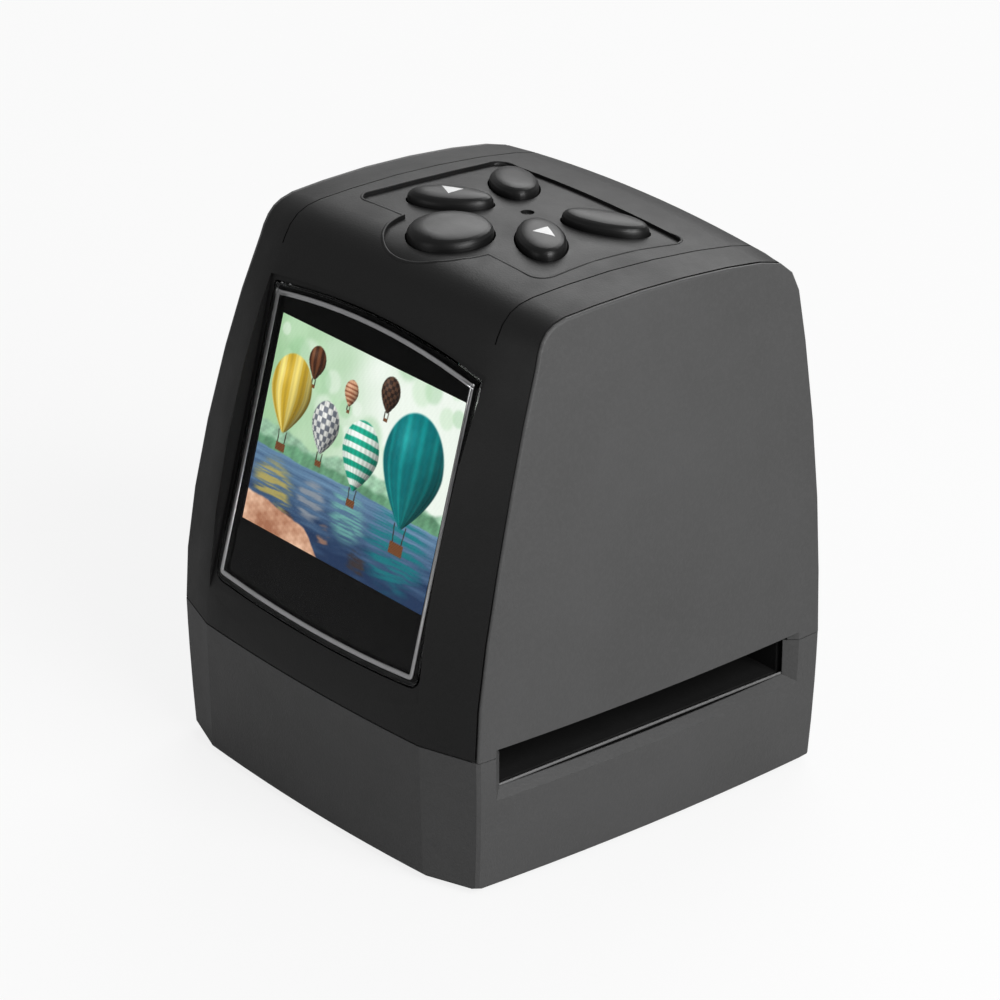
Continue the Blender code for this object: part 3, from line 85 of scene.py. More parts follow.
class Look:
    """A procedural material built round one Principled shader."""

    def __init__(self, name):
        self.material = bpy.data.materials.new(name)
        self.material.use_nodes = True
        self.tree = self.material.node_tree
        self.shader = self.tree.nodes["Principled BSDF"]
        self.place = self.tree.nodes.new("ShaderNodeTexCoord").outputs["Object"]

    def set(self, **values):
        for key, value in values.items():
            self.shader.inputs[key.replace("_", " ")].default_value = value
        return self

    def noise(self, scale, detail=2.0, roughness=0.5):
        node = self.tree.nodes.new("ShaderNodeTexNoise")
        node.inputs["Scale"].default_value = scale
        node.inputs["Detail"].default_value = detail
        node.inputs["Roughness"].default_value = roughness
        self.tree.links.new(self.place, node.inputs["Vector"])
        return node.outputs["Fac"]

    def ramp(self, value, low, high, out_low, out_high):
        node = self.tree.nodes.new("ShaderNodeMapRange")
        for key, number in zip(("From Min", "From Max", "To Min", "To Max"), (low, high, out_low, out_high)):
            node.inputs[key].default_value = number
        self.tree.links.new(value, node.inputs["Value"])
        return node.outputs["Result"]

    def math(self, operation, one, two=None, clamp=False):
        node = self.tree.nodes.new("ShaderNodeMath")
        node.operation = operation
        node.use_clamp = clamp
        for socket, value in zip(node.inputs, (one, two)):
            if value is None:
                continue
            if isinstance(value, (int, float)):
                socket.default_value = value
            else:
                self.tree.links.new(value, socket)
        return node.outputs["Value"]

    def blend(self, factor, one, two):
        node = self.tree.nodes.new("ShaderNodeMix")
        node.data_type = "RGBA"
        for socket, value in ((node.inputs["Factor"], factor), (node.inputs[6], one), (node.inputs[7], two)):
            if isinstance(value, tuple):
                socket.default_value = value
            else:
                self.tree.links.new(value, socket)
        return node.outputs[2]

    def bump(self, height, strength, distance, normal=None):
        node = self.tree.nodes.new("ShaderNodeBump")
        node.inputs["Strength"].default_value = strength
        node.inputs["Distance"].default_value = distance
        self.tree.links.new(height, node.inputs["Height"])
        if normal is not None:
            self.tree.links.new(normal, node.inputs["Normal"])
        return node.outputs["Normal"]

    def link(self, output, name):
        self.tree.links.new(output, self.shader.inputs[name])
        return self


def grey(level, tint=0.0):
    return (level, level, level * (1 + tint), 1.0)


def moulded_plastic(name, level, roughness, grain, strength, specular=0.5):
    """Moulded plastic: slightly uneven colour, a fine spark-eroded grain and rubbed patches."""
    look = Look(name)
    cloud = look.noise(38.0, 3.0, 0.6)
    speck = look.noise(grain * 0.55, 1.0)
    shade = look.blend(look.ramp(cloud, 0.3, 0.7, 0.0, 1.0), grey(level * 0.93), grey(level * 1.07, 0.01))
    dots = look.ramp(speck, 0.45, 0.65, 0.0, 0.3)
    look.link(look.blend(dots, shade, grey(level * 1.2)), "Base Color")
    rubbed = look.noise(90.0, 4.0, 0.65)
    look.link(look.ramp(rubbed, 0.35, 0.7, roughness - 0.03, roughness + 0.05), "Roughness")
    look.link(look.bump(look.noise(grain, 2.0, 0.6), strength, 0.00012), "Normal")
    look.set(Specular_IOR_Level=specular)
    return look


def board_look(name):
    """Solder mask over copper tracks."""
    look = Look(name)
    brick = look.tree.nodes.new("ShaderNodeTexBrick")
    brick.inputs["Scale"].default_value = 260.0
    brick.inputs["Mortar Size"].default_value = 0.018
    brick.inputs["Color1"].default_value = (0.012, 0.10, 0.035, 1.0)
    brick.inputs["Color2"].default_value = (0.014, 0.13, 0.045, 1.0)
    brick.inputs["Mortar"].default_value = (0.03, 0.22, 0.08, 1.0)
    look.tree.links.new(look.place, brick.inputs["Vector"])
    look.link(brick.outputs["Color"], "Base Color")
    look.link(look.ramp(look.noise(300.0), 0.3, 0.7, 0.28, 0.45), "Roughness")
    look.link(look.bump(brick.outputs["Fac"], 0.25, 0.00005), "Normal")
    return look


def metal_look(name, level, roughness):
    """Plated steel with a drawn grain."""
    look = Look(name)
    cloud = look.noise(160.0, 4.0, 0.6)
    look.link(look.blend(cloud, grey(level * 0.85), grey(level, 0.02)), "Base Color")
    look.link(look.ramp(look.noise(900.0, 3.0), 0.3, 0.7, roughness * 0.8, roughness * 1.3), "Roughness")
    look.link(look.bump(look.noise(2600.0, 2.0), 0.1, 0.00005), "Normal")
    look.set(Metallic=1.0)
    return look


grey_plastic = moulded_plastic("grey_plastic", 0.060, 0.50, 2300.0, 0.45)
black_plastic = moulded_plastic("black_plastic", 0.008, 0.46, 2600.0, 0.20, 0.32)
key_plastic = moulded_plastic("key_plastic", 0.006, 0.36, 2000.0, 0.06, 0.3)
inner_plastic = moulded_plastic("inner_plastic", 0.010, 0.60, 1800.0, 0.2, 0.3)
socket_plastic = moulded_plastic("socket_plastic", 0.013, 0.45, 2000.0, 0.15, 0.4)
white_plastic = moulded_plastic("white_plastic", 0.72, 0.40, 1200.0, 0.1)
chip_plastic = moulded_plastic("chip_plastic", 0.02, 0.55, 1500.0, 0.3, 0.4)
foot_rubber = moulded_plastic("foot_rubber", 0.018, 0.82, 1400.0, 0.5, 0.3)
screw_metal = metal_look("screw_metal", 0.30, 0.35)
plated_metal = metal_look("plated_metal", 0.62, 0.28)
circuit_board = board_look("circuit_board")

clear_glass = Look("clear_glass")
clear_glass.set(Base_Color=(0.97, 0.98, 0.98, 1.0), Transmission_Weight=1.0, IOR=1.2, Roughness=0.0)
lens_glass = Look("lens_glass")
lens_glass.set(Base_Color=(0.75, 0.82, 0.95, 1.0), Transmission_Weight=1.0, IOR=1.52, Roughness=0.02)
light_pipe = Look("light_pipe")
light_pipe.link(light_pipe.blend(light_pipe.noise(600.0), grey(0.020), grey(0.030)), "Base Color")
light_pipe.set(Roughness=0.12)
display_glass = Look("display_glass")
display_glass.link(
    display_glass.blend(display_glass.noise(300.0), grey(0.010), grey(0.014)), "Base Color"
)
display_glass.set(Roughness=0.2)

MATERIALS = {
    grey_plastic: ["base_housing", "left_panel", "right_panel"],
    black_plastic: ["front_cover", "rear_cover"],
    key_plastic: ["power_key", "menu_key", "left_key", "right_key", "scan_key"],
    inner_plastic: ["film_channel", "film_guide", "light_tunnel", "lens_mount", "lens_barrel"],
    socket_plastic: ["video_socket"],
    white_plastic: ["light_box", "diffuser"],
    chip_plastic: ["processor", "image_sensor"],
    foot_rubber: ["foot_1", "foot_2", "foot_3", "foot_4"],
    screw_metal: [f"{kind}_screw_{k}" for kind in ("board", "case") for k in range(1, 5)],
    plated_metal: ["display_bracket", "card_socket", "usb_socket"],
    circuit_board: ["key_board", "main_board", "lamp_board", "sensor_board"],
    clear_glass: ["screen_window"],
    lens_glass: ["lens"],
    light_pipe: ["status_light"],
    display_glass: ["display_module"],
}
for look, names in MATERIALS.items():
    for name in names:
        mesh = nodes[name].data
        mesh.materials.clear()
        mesh.materials.append(look.material)

# Rounded edges shade smoothly while broad faces stay flat
SMOOTH_ANGLE = math.radians(35)
CASING_ANGLE = math.radians(28)
LIKE_DIRECTION = math.cos(math.radians(38))
COVER_REACH = 3.2 * MM
KEY_REACH = 1.6 * MM
SAMPLE_SHARE = 0.08
GOLDEN = (0.7548776662466927, 0.5698402909980532)


def face_samples(mesh, sample_area):
    """Places spread evenly over a mesh, each with its face's normal and share of area."""
    mesh.calc_loop_triangles()
    places, facing, weights = [], [], []
    for triangle in mesh.loop_triangles:
        corners = np.array([mesh.vertices[k].co for k in triangle.vertices])
        count = max(1, math.ceil(triangle.area / sample_area))
        steps = np.arange(1, count + 1)
        one, two = (steps * GOLDEN[0]) % 1.0, (steps * GOLDEN[1]) % 1.0
        one, two = 1 - np.sqrt(one), two * np.sqrt(one)
        places.append(np.outer(1 - one - two, corners[0]) + np.outer(one, corners[1]) + np.outer(two, corners[2]))
        facing.append(np.tile(np.array(triangle.normal), (count, 1)))
        weights.append(np.full(count, triangle.area / count))
    return np.concatenate(places), np.concatenate(facing), np.concatenate(weights)


def even_normals(mesh, reach):
    """Averages each corner's normal over nearby faces of like direction, so broad curves shade evenly."""
    places, facing, weights = face_samples(mesh, SAMPLE_SHARE * reach * reach)
    tree = KDTree(len(places))
    for k, place in enumerate(places):
        tree.insert(place, k)
    tree.balance()
    near = []
    for vert in mesh.vertices:
        found = tree.find_range(vert.co, reach)
        picks = np.array([k for place, k, distance in found], dtype=int)
        fade = np.array([1 - distance / reach for place, k, distance in found])
        near.append((facing[picks], weights[picks] * fade))
    normals = []
    for polygon in mesh.polygons:
        own = np.array(polygon.normal)
        for loop in polygon.loop_indices:
            directions, share = near[mesh.loops[loop].vertex_index]
            share = share * (directions @ own > LIKE_DIRECTION)
            total = (directions * share[:, None]).sum(axis=0) + own * 1e-12
            normals.append(total / np.linalg.norm(total))
    mesh.normals_split_custom_set(normals)


for name, node in nodes.items():
    node.data.shade_smooth()
    if name in ("front_cover", "rear_cover"):
        even_normals(node.data, COVER_REACH)
    elif name.endswith("_key"):
        even_normals(node.data, KEY_REACH)
    elif name in ("base_housing", "left_panel", "right_panel"):
        node.data.set_sharp_from_angle(angle=CASING_ANGLE)
        weighting = node.modifiers.new("even_shading", "WEIGHTED_NORMAL")
        weighting.mode = "FACE_AREA"
        weighting.keep_sharp = True
    else:
        node.data.set_sharp_from_angle(angle=SMOOTH_ANGLE)


def front_outline(node):
    """Outline of a node's outermost face in the screen's plane, in order round it."""
    points = [v.co - SCREEN_CENTRE for v in nodes[node].data.vertices]
    front = max(p.dot(SCREEN_OUT) for p in points)
    flat = {(round(p.x, 6), round(p.dot(SCREEN_UP), 6)) for p in points if p.dot(SCREEN_OUT) > front - 0.00002}
    return sorted(flat, key=lambda p: math.atan2(p[1], p[0])), front


def inset(points, by):
    """An anticlockwise outline moved inward."""
    moved = []
    for k, point in enumerate(points):
        here = Vector(point)
        one = (here - Vector(points[k - 1])).normalized()
        two = (Vector(points[(k + 1) % len(points)]) - here).normalized()
        normal = (Vector((-one.y, one.x)) + Vector((-two.y, two.x))).normalized()
        spread = max(normal.dot(Vector((-one.y, one.x))), 0.5)
        moved.append(here + normal * (by / spread))
    return moved


def band(name, rings, material, body_name="housing"):
    """A closed band through rings of points."""
    body = bmesh.new()
    loops = [[body.verts.new(p) for p in ring] for ring in rings]
    for lower, upper in zip(loops, loops[1:] + loops[:1]):
        for k in range(len(lower)):
            after = (k + 1) % len(lower)
            body.faces.new((lower[k], lower[after], upper[after], upper[k]))
    bmesh.ops.recalc_face_normals(body, faces=body.faces)
    piece = add_mesh(name, body, material, body_name)
    piece.data.shade_smooth()
    return piece


outline, window_face = front_outline("screen_window")
silver = metal_look("silver_line", 0.62, 0.38)
line_rings = []
for share, rise in ((0.0, 0.0), (0.12, 0.7), (0.3, 1.0), (0.7, 1.0), (0.88, 0.7), (1.0, 0.0)):
    edge = inset(outline, LINE_INSET + LINE_WIDTH * share)
    line_rings.append([on_screen(p.x, p.y, window_face + LINE_RISE * rise) for p in edge])
screen_line = band("screen_line", line_rings, silver.material)

mask_black = Look("mask_black")
mask_black.link(mask_black.blend(mask_black.noise(500.0), grey(0.004), grey(0.006)), "Base Color")
mask_black.set(Roughness=0.8, Specular_IOR_Level=0.0)
half_width, half_height = PICTURE_WIDTH / 2, PICTURE_HEIGHT / 2


def rectangle_like(points):
    """A rectangle of the picture's size with one point for each outline point."""
    rim = []
    for point in points:
        reach = min(half_width / max(abs(point.x), 1e-9), half_height / max(abs(point.y), 1e-9))
        rim.append(point * reach)
    return rim


mask_edge = inset(outline, 0.4 * MM)
corners = [Vector((x * half_width, y * half_height)) * 1.12 for x in (-1, 1) for y in (-1, 1)]
mask_edge = sorted(mask_edge, key=lambda p: math.atan2(p.y, p.x))
hole = rectangle_like(mask_edge)
for corner in corners:
    nearest = min(range(len(hole)), key=lambda k: (hole[k] - corner / 1.12).length)
    hole[nearest] = corner / 1.12
mask = band(
    "screen_mask",
    [
        [on_screen(p.x, p.y, MASK_BACK) for p in mask_edge],
        [on_screen(p.x, p.y, MASK_FRONT) for p in mask_edge],
        [on_screen(p.x, p.y, MASK_FRONT) for p in hole],
        [on_screen(p.x, p.y, MASK_BACK) for p in hole],
    ],
    mask_black.material,
)
mask.data.shade_flat()


def smooth_step(low, high, value):
    share = np.clip((value - low) / (high - low), 0.0, 1.0)
    return share * share * (3 - 2 * share)


def wander(x, y, seed, scale, octaves=4):
    """Smooth repeatable unevenness between -1 and 1."""
    total, weight = np.zeros_like(x), 0.0
    for k in range(octaves):
        turn = seed * 1.7 + k * 2.1
        f = scale * 1.9 ** k
        total += np.sin(f * (x * math.cos(turn) + y * math.sin(turn)) + seed * 3.1 + k) * (
            np.cos(f * (y * math.cos(turn * 1.3) - x * math.sin(turn * 1.3)) + seed + 2.3 * k)
        ) / 1.6 ** k
        weight += 1 / 1.6 ** k
    return total / weight * 1.6


def paint(canvas, cover, colour):
    """Lays a colour over the canvas where it covers."""
    cover = np.clip(cover, 0.0, 1.0)[..., None]
    return canvas * (1 - cover) + np.asarray(colour) * cover


def shaded(low, high, share):
    """A blend of two colours."""
    share = np.clip(share, 0.0, 1.0)[..., None]
    return np.asarray(low) * (1 - share) + np.asarray(high) * share


def oval(x, y, cx, cy, rx, ry, edge=0.06):
    """How far places lie inside an ellipse, from 0 outside to 1 inside, with a soft edge."""
    return smooth_step(1.0 + edge, 1.0 - edge, np.hypot((x - cx) / rx, (y - cy) / ry))


def envelope(x, y, cx, cy, size):
    """The shape of a balloon's envelope: cover, and its own across and upward places from -1 to 1."""
    up = (y - cy) / size
    taper = np.where(up > 0, 1.0, 1.0 - 0.62 * np.clip(-up, 0.0, 1.4) ** 1.7)
    across = (x - cx) / (size * 0.88 * np.maximum(taper, 0.05))
    reach = np.where(up > 0, np.hypot(across, up), np.maximum(np.abs(across), -up / 1.28))
    return smooth_step(1.03, 0.97, reach), across, up


def balloon(canvas, x, y, cx, cy, size, one, two, pattern):
    """A hot-air balloon lit from the upper left, with its basket and lines."""
    cover, across, up = envelope(x, y, cx, cy, size)
    turn = np.arcsin(np.clip(across, -0.999, 0.999))
    if pattern == "rings":
        share = smooth_step(-0.25, 0.25, np.sin(up * 17.0 + 0.5 * across ** 2))
    elif pattern == "checks":
        share = smooth_step(-0.12, 0.12, np.sin(turn * 9.0) * np.sin(up * 13.0))
    elif pattern == "gores":
        share = smooth_step(-0.3, 0.3, np.sin(turn * 8.0 + 0.6))
    else:
        share = 0.25 + 0.2 * np.sin(turn * 12.0) + 0.15 * wander(x, y, cx * 7.0, 20.0)
    light = 0.98 - 0.42 * np.clip(across * 0.75 - up * 0.35 + 0.1, 0.0, 1.0) ** 1.3
    light = light - 0.22 * np.clip(np.abs(across) - 0.55, 0.0, 1.0) - 0.06 * np.cos(turn * 24.0)
    glow = 0.10 * np.exp(-((across + 0.38) ** 2 + (up - 0.42) ** 2) * 7.0)
    cloth = shaded(one, two, share) * light[..., None] + glow[..., None]
    for side in (-0.75, 0.75):
        line = np.abs(x - cx - side * size * 0.22 * (1 + (y - cy + size * 1.28) * 3.0))
        span = smooth_step(cy - size * 1.62, cy - size * 1.60, y) * smooth_step(cy - size * 1.2, cy - size * 1.24, y)
        canvas = paint(canvas, smooth_step(0.005, 0.002, line) * span, (0.22, 0.17, 0.14))
    canvas = paint(canvas, cover, cloth)
    basket = smooth_step(size * 0.21, size * 0.19, np.abs(x - cx)) * smooth_step(
        size * 0.13, size * 0.11, np.abs(y - cy + size * 1.70)
    )
    weave = 0.5 + 0.5 * np.sin(x * 420.0) * np.sin(y * 380.0)
    return paint(canvas, basket, shaded((0.30, 0.17, 0.10), (0.58, 0.37, 0.22), weave))


# Balloons from far to near: place across and upward, size, two colours and a pattern
BALLOONS = (
    (0.30, 0.86, 0.070, (0.25, 0.14, 0.09), (0.45, 0.27, 0.17), "gores"),
    (0.57, 0.80, 0.055, (0.62, 0.38, 0.27), (0.86, 0.66, 0.52), "rings"),
    (0.83, 0.88, 0.075, (0.17, 0.12, 0.10), (0.36, 0.25, 0.19), "checks"),
    (0.16, 0.68, 0.165, (0.80, 0.66, 0.20), (0.96, 0.87, 0.47), "gores"),
    (0.44, 0.60, 0.110, (0.44, 0.46, 0.50), (0.90, 0.90, 0.88), "checks"),
    (0.71, 0.56, 0.145, (0.07, 0.64, 0.52), (0.93, 0.97, 0.93), "rings"),
    (1.07, 0.62, 0.235, (0.00, 0.42, 0.44), (0.10, 0.66, 0.64), "plain"),
)


def screen_picture(x, y):
    """Hot-air balloons over a lake: x from 0 to 1.33 across, y from 0 to 1 up."""
    sky = shaded((0.66, 0.82, 0.64), (0.96, 0.99, 0.95), 0.10 + 0.75 * x + 0.40 * wander(x, y, 1.0, 3.0))
    canvas = sky
    for k in range(34):
        cx, cy = 1.33 * ((k * 0.618) % 1.0), 0.45 + 0.6 * ((k * 0.37) % 1.0)
        size = 0.03 + 0.06 * ((k * 0.77) % 1.0)
        tone = ((0.60, 0.80, 0.60), (0.98, 1.0, 0.97), (0.76, 0.90, 0.74))[k % 3]
        canvas = paint(canvas, oval(x, y, cx, cy, size, size, 0.25) * 0.4, tone)
    hills = ((0.475, 0.05, 4.2, (0.62, 0.78, 0.66)), (0.435, 0.035, 7.3, (0.40, 0.60, 0.46)))
    for height, swing, scale, tone in hills:
        crest = height + swing * wander(x, y * 0, height * 20.0, scale)
        leaves = np.asarray(tone) * (1.0 + 0.14 * wander(x, y, height * 31.0, 42.0))[..., None]
        canvas = paint(canvas, smooth_step(crest + 0.012, crest - 0.012, y), leaves)
    shore = 0.375 + 0.008 * wander(x, y * 0, 4.2, 9.0)
    depth = np.clip((shore - y) / 0.375, 0.0, 1.0)
    ripple = wander(x * (0.5 + 0.5 * depth), y * (14.0 - 9.0 * depth), 5.0, 9.0, 5)
    water = shaded((0.44, 0.58, 0.70), (0.13, 0.21, 0.34), 0.15 + 0.95 * depth + 0.22 * ripple)
    canvas = paint(canvas, smooth_step(shore + 0.004, shore - 0.004, y), water)
    for cx, cy, size, one, two, pattern in BALLOONS:
        low = 0.375 - (cy - 0.375) * 0.62
        sway = 0.014 * wander(x * 0, y * 5.0, cx * 5.0, 16.0)
        torn = 0.5 * wander(x * 0.6, y * 7.0, cx * 11.0 + 2.0, 13.0, 5)
        shape = oval(x + sway, y, cx, low, size * (0.80 + 0.30 * torn), size * 0.85, 0.3)
        broken = smooth_step(-0.55, 0.45, ripple + torn)
        tone = (np.asarray(one) + np.asarray(two)) * 0.45 + 0.03
        canvas = paint(canvas, shape * broken * smooth_step(shore, shore - 0.02, y) * 0.75, tone)
    bank = 0.105 + 0.05 * np.sin(x * 2.6 + 2.1) + 0.008 * wander(x, y * 0, 6.0, 16.0)
    grit = 0.5 + 0.45 * wander(x, y, 7.0, 14.0) + 0.2 * wander(x, y, 3.0, 70.0)
    left_bank = smooth_step(0.62, 0.40, x)
    rock = shaded((0.66, 0.44, 0.33), (0.95, 0.78, 0.66), grit)
    canvas = paint(canvas, smooth_step(bank + 0.006, bank - 0.006, y + 0.10 * (1 - left_bank)), rock)
    for cx, cy, size, one, two, pattern in BALLOONS:
        canvas = balloon(canvas, x, y, cx, cy, size, one, two, pattern)
    grain = 0.012 * wander(x, y, 9.0, 160.0, 3)
    return np.clip(canvas + grain[..., None], 0.0, 1.0)


def to_linear(colour):
    return np.where(colour <= 0.04045, colour / 12.92, ((colour + 0.055) / 1.055) ** 2.4)


picture = bmesh.new()
bmesh.ops.create_grid(picture, x_segments=PICTURE_COLUMNS, y_segments=PICTURE_ROWS, size=0.5)
for vert in picture.verts:
    vert.co = on_screen(vert.co.x * PICTURE_WIDTH, vert.co.y * PICTURE_HEIGHT, PICTURE_DEPTH)
picture_look = Look("screen_picture")
display_picture = add_mesh("screen_picture", picture, picture_look.material)
spots = np.empty(len(display_picture.data.vertices) * 3, np.float32)
display_picture.data.vertices.foreach_get("co", spots)
spots = spots.reshape(-1, 3).astype(np.float64)
across = (spots[:, 0] + half_width) / PICTURE_HEIGHT
upward = ((spots - np.array(SCREEN_CENTRE)) @ np.array(SCREEN_UP) + half_height) / PICTURE_HEIGHT
colours = np.ones((len(spots), 4), np.float32)
colours[:, :3] = to_linear(screen_picture(across, upward))
layer = display_picture.data.color_attributes.new("picture", "FLOAT_COLOR", "POINT")
layer.data.foreach_set("color", colours.ravel())
tint = picture_look.tree.nodes.new("ShaderNodeVertexColor")
tint.layer_name = "picture"
picture_look.link(tint.outputs["Color"], "Emission Color")
picture_look.set(Base_Color=grey(0.01), Emission_Strength=1.0, Roughness=0.6, Specular_IOR_Level=0.0)
for polygon in display_picture.data.polygons:
    polygon.use_smooth = True

# The key field's rounded lip, along its outline in plan
FIELD_HALF_WIDTH = 24.0 * MM
FIELD_FRONT = -11.5 * MM
FIELD_REAR = 20.3 * MM
FIELD_CORNER = 2.6 * MM
FIELD_WAIST = 0.8 * MM
LOBE_CENTRE = Vector((0.0, -10.7)) * MM
LOBE_RADIUS = 11.0 * MM
LIP_SECTION = ((0.02, -0.03), (0.02, 0.05), (0.16, 0.11), (0.34, 0.10), (0.52, 0.04), (0.56, -0.03))
ROUND_STEPS = 6
SIDE_STEPS = 8
LOBE_STEPS = 24


def field_side():
    """Right half of the key field's outline, from the lobe's front to the middle of its rear."""
    points = []
    start = math.asin((FIELD_FRONT - LOBE_CENTRE.y) / LOBE_RADIUS)
    for k in range(LOBE_STEPS):
        angle = -math.pi / 2 + (start + math.pi / 2) * k / LOBE_STEPS
        points.append(LOBE_CENTRE + Vector((math.cos(angle), math.sin(angle))) * LOBE_RADIUS)
    points.append(Vector((LOBE_RADIUS * math.cos(start), FIELD_FRONT)))
    low, high = FIELD_FRONT + FIELD_CORNER, FIELD_REAR - FIELD_CORNER
    for centre_y, turn in ((low, -math.pi / 2), (high, 0.0)):
        for k in range(ROUND_STEPS + 1):
            angle = turn + math.pi / 2 * k / ROUND_STEPS
            across = FIELD_HALF_WIDTH - FIELD_CORNER + FIELD_CORNER * math.cos(angle)
            points.append(Vector((across, centre_y + FIELD_CORNER * math.sin(angle))))
        if turn:
            for k in range(1, SIDE_STEPS):
                waist = FIELD_WAIST * (1 - (2 * k / SIDE_STEPS - 1) ** 2)
                points.append(Vector((FIELD_HALF_WIDTH - waist, low + (high - low) * k / SIDE_STEPS)))
    return points


right_side = field_side()
field_outline = right_side + [Vector((-p.x, p.y)) for p in reversed(right_side[1:])]
lip_rings = []
for out, rise in LIP_SECTION:
    ring = []
    for place in inset([tuple(p) for p in field_outline], -out * MM):
        found, point, normal, index = nodes["front_cover"].ray_cast(place.to_3d() + ABOVE, -UP)
        ring.append(point + UP * rise * MM)
    lip_rings.append(ring)
field_lip = band("field_lip", lip_rings, black_plastic.material)

# A moulded edge along each end of the film channel, in pale plastic as a painted highlight where the rounded edge
# catches the light
EDGE_INNER = 38.2 * MM
EDGE_WIDTH = 0.35 * MM
EDGE_LOW = 18.6 * MM
EDGE_RISE = 0.36 * MM
EDGE_FRONT = -33.2 * MM
EDGE_REAR = 31.4 * MM
EDGE_SECTION = ((0.0, 0.0), (0.0, 0.7), (0.25, 1.0), (0.75, 1.0), (1.0, 0.7), (1.0, 0.0))
# Pale grey here is a painted highlight on the channel edge, not the plastic's own colour
painted_edge_highlight = moulded_plastic("painted_edge_highlight", 0.16, 0.35, 2300.0, 0.05)
for side in (-1, 1):
    edge_body = bmesh.new()
    ends = []
    for depth in (EDGE_FRONT, EDGE_REAR):
        ends.append([
            edge_body.verts.new((side * (EDGE_INNER + EDGE_WIDTH * across), depth, EDGE_LOW + EDGE_RISE * up))
            for across, up in EDGE_SECTION
        ])
    near_end, far_end = ends
    edge_body.faces.new(near_end)
    edge_body.faces.new(far_end[::-1])
    for k in range(len(near_end)):
        after = (k + 1) % len(near_end)
        edge_body.faces.new((near_end[k], far_end[k], far_end[after], near_end[after]))
    bmesh.ops.recalc_face_normals(edge_body, faces=edge_body.faces)
    channel_edge = add_mesh("channel_edge_left" if side < 0 else "channel_edge_right", edge_body, painted_edge_highlight.material)

# Arrows printed on the two side keys
print_white = Look("print_white")
print_white.link(print_white.blend(print_white.noise(900.0), grey(0.74), grey(0.84)), "Base Color")
print_white.set(Roughness=0.5)
for side, key, button in ((-1, "left_key", "left_button"), (1, "right_key", "right_button")):
    corners = []
    for along, beside in ((ARROW_REACH, 0.0), (-ARROW_REACH, ARROW_HALF_BASE), (-ARROW_REACH, -ARROW_HALF_BASE)):
        corners.append(Vector((side * (ARROW_ACROSS + along), ARROW_DEPTH + beside, 0.0)))
    # A row of points from the arrow's apex to each point along its base follows the key's dome
    apex, one, two = corners
    upper, lower = [], []
    for along in range(ARROW_STEPS + 1):
        start, end = apex.lerp(one, along / ARROW_STEPS), apex.lerp(two, along / ARROW_STEPS)
        row = [start.lerp(end, k / along) for k in range(along + 1)] if along else [apex]
        upper.append([])
        lower.append([])
        for point in row:
            found, place, normal, index = nodes[key].ray_cast(point + ABOVE, -UP)
            upper[-1].append(place + UP * ARROW_RISE)
            lower[-1].append(place - UP * ARROW_RISE / 2)
    arrow = bmesh.new()
    upper = [[arrow.verts.new(p) for p in row] for row in upper]
    lower = [[arrow.verts.new(p) for p in row] for row in lower]
    for along in range(ARROW_STEPS):
        for k in range(along + 1):
            arrow.faces.new((upper[along][k], upper[along + 1][k], upper[along + 1][k + 1]))
            arrow.faces.new((lower[along][k], lower[along + 1][k + 1], lower[along + 1][k]))
            if k < along:
                arrow.faces.new((upper[along][k], upper[along + 1][k + 1], upper[along][k + 1]))
                arrow.faces.new((lower[along][k], lower[along][k + 1], lower[along + 1][k + 1]))
        for here, after in ((0, 0), (along, along + 1)):
            edge = (upper[along][here], lower[along][here], lower[along + 1][after], upper[along + 1][after])
            arrow.faces.new(edge)
    for k in range(ARROW_STEPS):
        arrow.faces.new((upper[-1][k], lower[-1][k], lower[-1][k + 1], upper[-1][k + 1]))
    bmesh.ops.recalc_face_normals(arrow, faces=arrow.faces)
    piece = add_mesh(f"{key}_arrow", arrow, print_white.material, button)

# Floor and backdrop
floor_body = bmesh.new()
bmesh.ops.create_grid(floor_body, x_segments=1, y_segments=1, size=4.0)
floor_mesh = bpy.data.meshes.new("floor")
floor_body.to_mesh(floor_mesh)
floor_body.free()
floor = bpy.data.objects.new("floor", floor_mesh)
floor.location = (0.0, 0.0, -0.0002)
scene.collection.objects.link(floor)
floor_look = Look("floor_white")
floor_look.set(Roughness=0.9, Specular_IOR_Level=0.0)
rays = floor_look.tree.nodes.new("ShaderNodeLightPath")
seen_floor = rays.outputs["Is Camera Ray"]
floor_look.link(floor_look.blend(seen_floor, grey(0.42), grey(0.80)), "Base Color")
glow = floor_look.tree.nodes.new("ShaderNodeEmission")
glow.inputs["Strength"].default_value = 1.0
mix = floor_look.tree.nodes.new("ShaderNodeMixShader")
share = floor_look.math("MULTIPLY", seen_floor, 0.84)
floor_look.tree.links.new(share, mix.inputs["Fac"])
floor_look.tree.links.new(floor_look.shader.outputs["BSDF"], mix.inputs[1])
floor_look.tree.links.new(glow.outputs["Emission"], mix.inputs[2])
surface = floor_look.tree.nodes["Material Output"].inputs["Surface"]
floor_look.tree.links.new(mix.outputs["Shader"], surface)
floor_mesh.materials.append(floor_look.material)

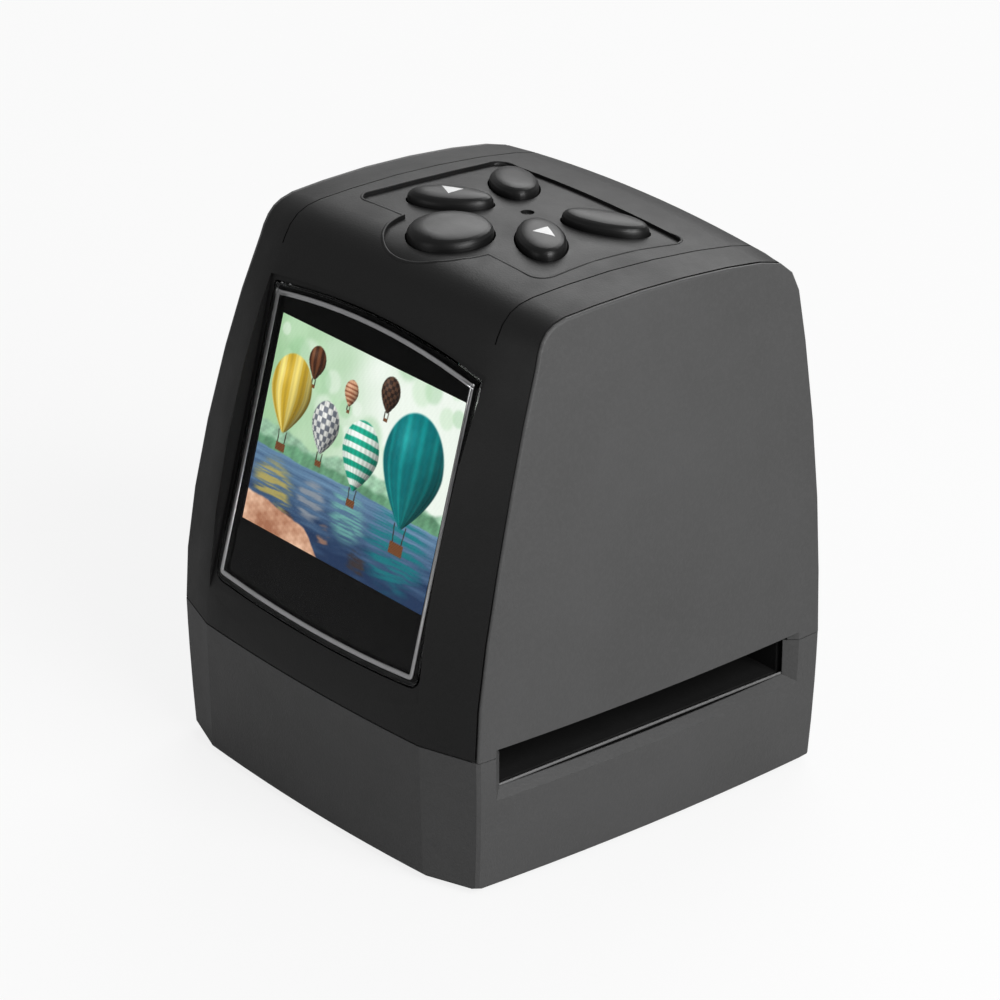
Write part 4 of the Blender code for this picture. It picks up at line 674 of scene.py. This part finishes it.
world = bpy.data.worlds.new("studio")
scene.world = world
world.use_nodes = True
sky = world.node_tree
back = sky.nodes["Background"]
seen = sky.nodes.new("ShaderNodeLightPath")
level = sky.nodes.new("ShaderNodeMix")
level.data_type = "FLOAT"
level.inputs[2].default_value = 0.26
level.inputs[3].default_value = 1.0
sky.links.new(seen.outputs["Is Camera Ray"], level.inputs["Factor"])
sky.links.new(level.outputs[0], back.inputs["Strength"])
back.inputs["Color"].default_value = (1.0, 1.0, 1.0, 1.0)


def softbox(name, place, aim, size, power):
    """A square area lamp aimed at a point."""
    lamp = bpy.data.lights.new(name, "AREA")
    lamp.size = size
    lamp.energy = power
    item = bpy.data.objects.new(name, lamp)
    item.location = place
    item.rotation_euler = (Vector(aim) - Vector(place)).to_track_quat("-Z", "Y").to_euler()
    scene.collection.objects.link(item)


softbox("key_light", (0.80, 0.02, 0.55), (0.0, 0.0, 0.05), 0.6, 9.6)
softbox("back_light", (-0.55, 0.75, 0.75), (0.0, 0.0, 0.06), 0.8, 6.0)
softbox("front_fill", (-0.25, -1.1, 0.35), (0.0, 0.0, 0.05), 0.5, 0.9)

# Camera at the photograph's place: azimuth, elevation and distance from its target
CAMERA_AZIMUTH = math.radians(50.331)
CAMERA_ELEVATION = math.radians(25.207)
CAMERA_DISTANCE = 0.824048
CAMERA_TARGET = Vector((0.0, 0.0, 0.04705))
away = Vector((
    math.sin(CAMERA_AZIMUTH) * math.cos(CAMERA_ELEVATION),
    -math.cos(CAMERA_AZIMUTH) * math.cos(CAMERA_ELEVATION),
    math.sin(CAMERA_ELEVATION),
))
right = Vector((math.cos(CAMERA_AZIMUTH), math.sin(CAMERA_AZIMUTH), 0.0))
above = away.cross(right)
lens = bpy.data.cameras.new("camera")
lens.sensor_width = 36.0
lens.lens = 172.8
lens.clip_start = 0.01
camera = bpy.data.objects.new("camera", lens)
scene.collection.objects.link(camera)
turn = Matrix((right, above, away)).transposed().to_4x4()
camera.matrix_world = Matrix.Translation(CAMERA_TARGET + away * CAMERA_DISTANCE) @ turn
scene.camera = camera
scene.view_settings.view_transform = "Standard"
